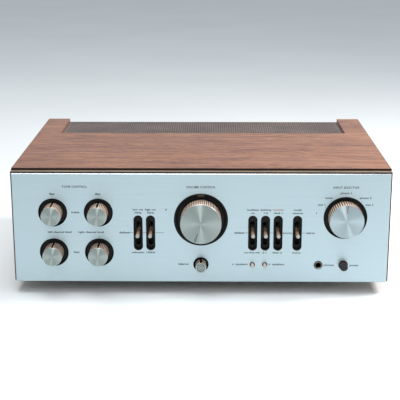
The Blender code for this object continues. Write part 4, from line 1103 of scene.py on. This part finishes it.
def make_speaker_terminals():
    """Eight knurled screw terminals, red over black, on a ribbed block."""
    low, high, face, reach = connector_plate("speaker_plate", "speaker_terminal_block")
    middle = (low + high) / 2
    pitch = 26
    row_pitch = 20
    teeth = 20
    knurled = ridges((3, 4), teeth, 0.3)
    cap = [(0, reach), (3.2, reach), (4.0, reach - 0.6), (4.4, reach - 0.9), (4.4, 1.4)]
    for row, (tint, finish) in enumerate((("black", BLACK_PLASTIC), ("red", RED_INSERT))):
        bands = [(finish, cap), (GOLD, [(4.0, 1.1), (5.2, 1.0), (5.2, 0), (0, 0)])]
        mesh = lathe(f"speaker_post_{tint}", bands, teeth * 4, knurled)
        for column in range(4):
            spot = (middle.x + (column - 1.5) * pitch, face, middle.z + (row - 0.5) * row_pitch)
            settle(put(f"speaker_post_{tint}_{column + 1}", mesh, REARWARD, spot), "black_plastic")
    for column in range(3):
        x = middle.x + (column - 1) * pitch
        rib_low = (x - 0.8, face - 0.2, low.z + 1.5)
        rib_high = (x + 0.8, face + 3, high.z - 1.5)
        settle(block(f"speaker_rib_{column + 1}", rib_low, rib_high, BLACK_PLASTIC, 0.3), "black_plastic")


def make_outlets():
    """Three two-blade outlets, each a shallow round-cornered recess with two slots."""
    low, high = box("ac_outlet_block")
    body = block("outlet_block", low, high, BLACK_PLASTIC, 0.6, 3)
    middle = (low + high) / 2
    past = high.y + 5  # where the cutters end, clear of the block
    cutters = []
    for row in (-1, 0, 1):
        z = middle.z + row * 24
        recess_low = (middle.x - 12, high.y - 1, z - 9)
        recess_high = (middle.x + 12, past, z + 9)
        cutters.append(block(f"outlet_recess_{row + 2}", recess_low, recess_high, BLACK_PLASTIC, 1.6, 3))
        for side in (-1, 1):
            x = middle.x + side * 6.3
            blade_low, blade_high = (x - 1, high.y - 12, z - 4), (x + 1, past, z + 4)
            # The blade slots take the near-black finish: painted shade in the openings.
            cutters.append(block(f"outlet_blade_{row + 2}_{side + 1}", blade_low, blade_high, BLACK_LINING_AND_SHADE))
    carve(body, *cutters)
    settle(body, "black_plastic", "root", "ac_outlet_block")


def make_fuse_holder():
    """A round holder with a coin slot in its cap."""
    wide, reach, spot = rear_measures("fuse_holder")
    points = [(0, reach), *rounded_corner(wide - 1.6, reach, 0.6, 3)]
    points += [(wide - 1.2, reach * 0.5), (wide, reach * 0.35), (wide, CLEARANCE)]
    points += [(6, CLEARANCE), (6, -STEM_DEPTH), (0, -STEM_DEPTH)]
    holder = put("fuse_holder_cap", lathe("fuse_holder_cap", [(BLACK_PLASTIC, points)]), REARWARD, spot)
    slit_low = spot + Vector((-4.5, reach - 1.2, -0.7))
    slit_high = spot + Vector((4.5, reach + 2, 0.7))
    # The coin slot takes the near-black finish: painted shade in the slit.
    carve(holder, block("fuse_slit", slit_low, slit_high, BLACK_LINING_AND_SHADE))
    settle(holder, "black_plastic", "root", "fuse_holder")


def make_ground_terminal():
    wide, reach, spot = rear_measures("ground_terminal")
    teeth = 24
    points = [(0, reach), (1.6, reach), (2.0, reach - 0.4), (2.0, reach - 2.2), (wide - 0.6, reach - 2.5)]
    points += [(wide, reach - 3.0), (wide, reach - 6.5), (wide - 1, reach - 7.0), (wide - 1, CLEARANCE)]
    points += [(2, CLEARANCE), (2, -STEM_DEPTH), (0, -STEM_DEPTH)]
    cut = {"steps": teeth * 4, "radius_at": ridges((5, 6), teeth, 0.25)}
    bands = [(SCREW, points)]
    turned("ground_terminal_screw", bands, REARWARD, spot, "zinc_steel", "ground_terminal", **cut)


def make_cord_gland():
    """The open moulding that the cord would run through."""
    wide, reach, spot = rear_measures("cord_gland")
    hole = 3.7
    points = [(hole, reach - 0.4), (hole + 0.4, reach), *rounded_corner(wide - 2.4, reach, 0.7, 3)]
    points += [(wide - 2.2, 4.2), (wide - 0.4, 3.6), (wide, 3.0), (wide, CLEARANCE)]
    points += [(7.5, CLEARANCE), (7.5, -STEM_DEPTH), (hole, -STEM_DEPTH)]
    bands = [(BLACK_PLASTIC, points)]
    turned("cord_gland_moulded", bands, REARWARD, spot, "black_plastic", "cord_gland", closed=True)


# ---------------- finishes of the CAD nodes that stay


def finish_cad_nodes():
    """Gives every CAD node its finish: zinc plated steel where nothing else is stated."""
    stated = (
        (INNER_BLACK, "front_subpanel"),
        (LIFTED_SWITCH_BLACK, "filter_switch_bank tape_switch_bank mode_switch speaker_switch_bank"),
        (CHASSIS, "chassis_tray"),
        (BLACK_PAINT, "rear_panel"),
        (BOARD, "tone_control_board preamp_board power_amp_board"),
        (BLACK_PLASTIC, "power_switch"),
        (LAMINATION, "transformer_core"),
        (WINDING, "transformer_winding"),
        (SLEEVE, "filter_capacitor_left filter_capacitor_right"),
        (BLACK_ANODISED, "heat_sink"),
    )
    finishes = {name: finish for finish, names in stated for name in names.split()}
    for name, node in frame["nodes"].items():
        node.data.materials.clear()
        node.data.materials.append(finishes.get(name, ZINC))


# ---------------- floor, light and camera


def make_floor():
    """A plain pale floor."""
    form = bmesh.new()
    bmesh.ops.create_grid(form, x_segments=8, y_segments=8, size=6.0)
    mesh = shaped("floor", form, [pale_floor()])
    put("floor", mesh)


def area_light(name, location, target, size, power, color=(1.0, 1.0, 1.0)):
    """A rectangular light aimed at a target. Its size is in metres."""
    light = bpy.data.lights.new(name, "AREA")
    light.shape = "RECTANGLE"
    light.size, light.size_y = size
    light.energy = power
    light.color = color
    aim = Vector(target) - Vector(location)
    put(name, light, aim.to_track_quat("-Z", "Y").to_matrix().to_4x4(), location)


def make_light():
    world = bpy.data.worlds.new("studio")
    world.use_nodes = True
    background = world.node_tree.nodes["Background"]
    background.inputs["Color"].default_value = (0.86, 0.93, 0.97, 1.0)
    background.inputs["Strength"].default_value = 0.52
    bpy.context.scene.world = world
    area_light("key_light", (-200, -300, 2000), (0, 0, 50), (1.4, 1.0), 22.5)
    area_light("front_light", (-120, -1450, 1250), (0, -100, 100), (0.42, 0.9), 5.4, (1.0, 0.97, 0.95))
    area_light("right_light", (850, 50, 900), (170, -100, 100), (0.4, 0.4), 13, (1.0, 0.96, 0.92))
    bpy.context.scene.view_settings.view_transform = "Standard"


def make_camera():
    """Stands a little over a metre in front and looks down at the faceplate."""
    yaw, pitch, roll = (math.radians(angle) for angle in (0.671, 15.733, -0.04))
    forward = Vector((-math.sin(yaw) * math.cos(pitch), math.cos(yaw) * math.cos(pitch), -math.sin(pitch)))
    level = Vector((math.cos(yaw), math.sin(yaw), 0))
    upright = level.cross(forward)
    across = level * math.cos(roll) + upright * math.sin(roll)
    up = upright * math.cos(roll) - level * math.sin(roll)
    camera = bpy.data.cameras.new("camera")
    camera.lens = 93.3
    camera.sensor_width = 36
    camera.clip_start = 0.05
    turn = Matrix((across, up, -forward)).transposed().to_4x4()
    bpy.context.scene.camera = put("camera", camera, turn, (12.4, -1296.6, 438.8))


make_camera()
make_light()
make_floor()
finish_cad_nodes()
make_faceplate()
make_legends()
make_knobs()
make_volume_bezel()
make_levers()
make_buttons()
make_headphone_jack()
make_front_frame()
make_case()
make_vent()
make_feet()
make_screws()
make_input_jacks()
make_speaker_terminals()
make_outlets()
make_fuse_holder()
make_ground_terminal()
make_cord_gland()
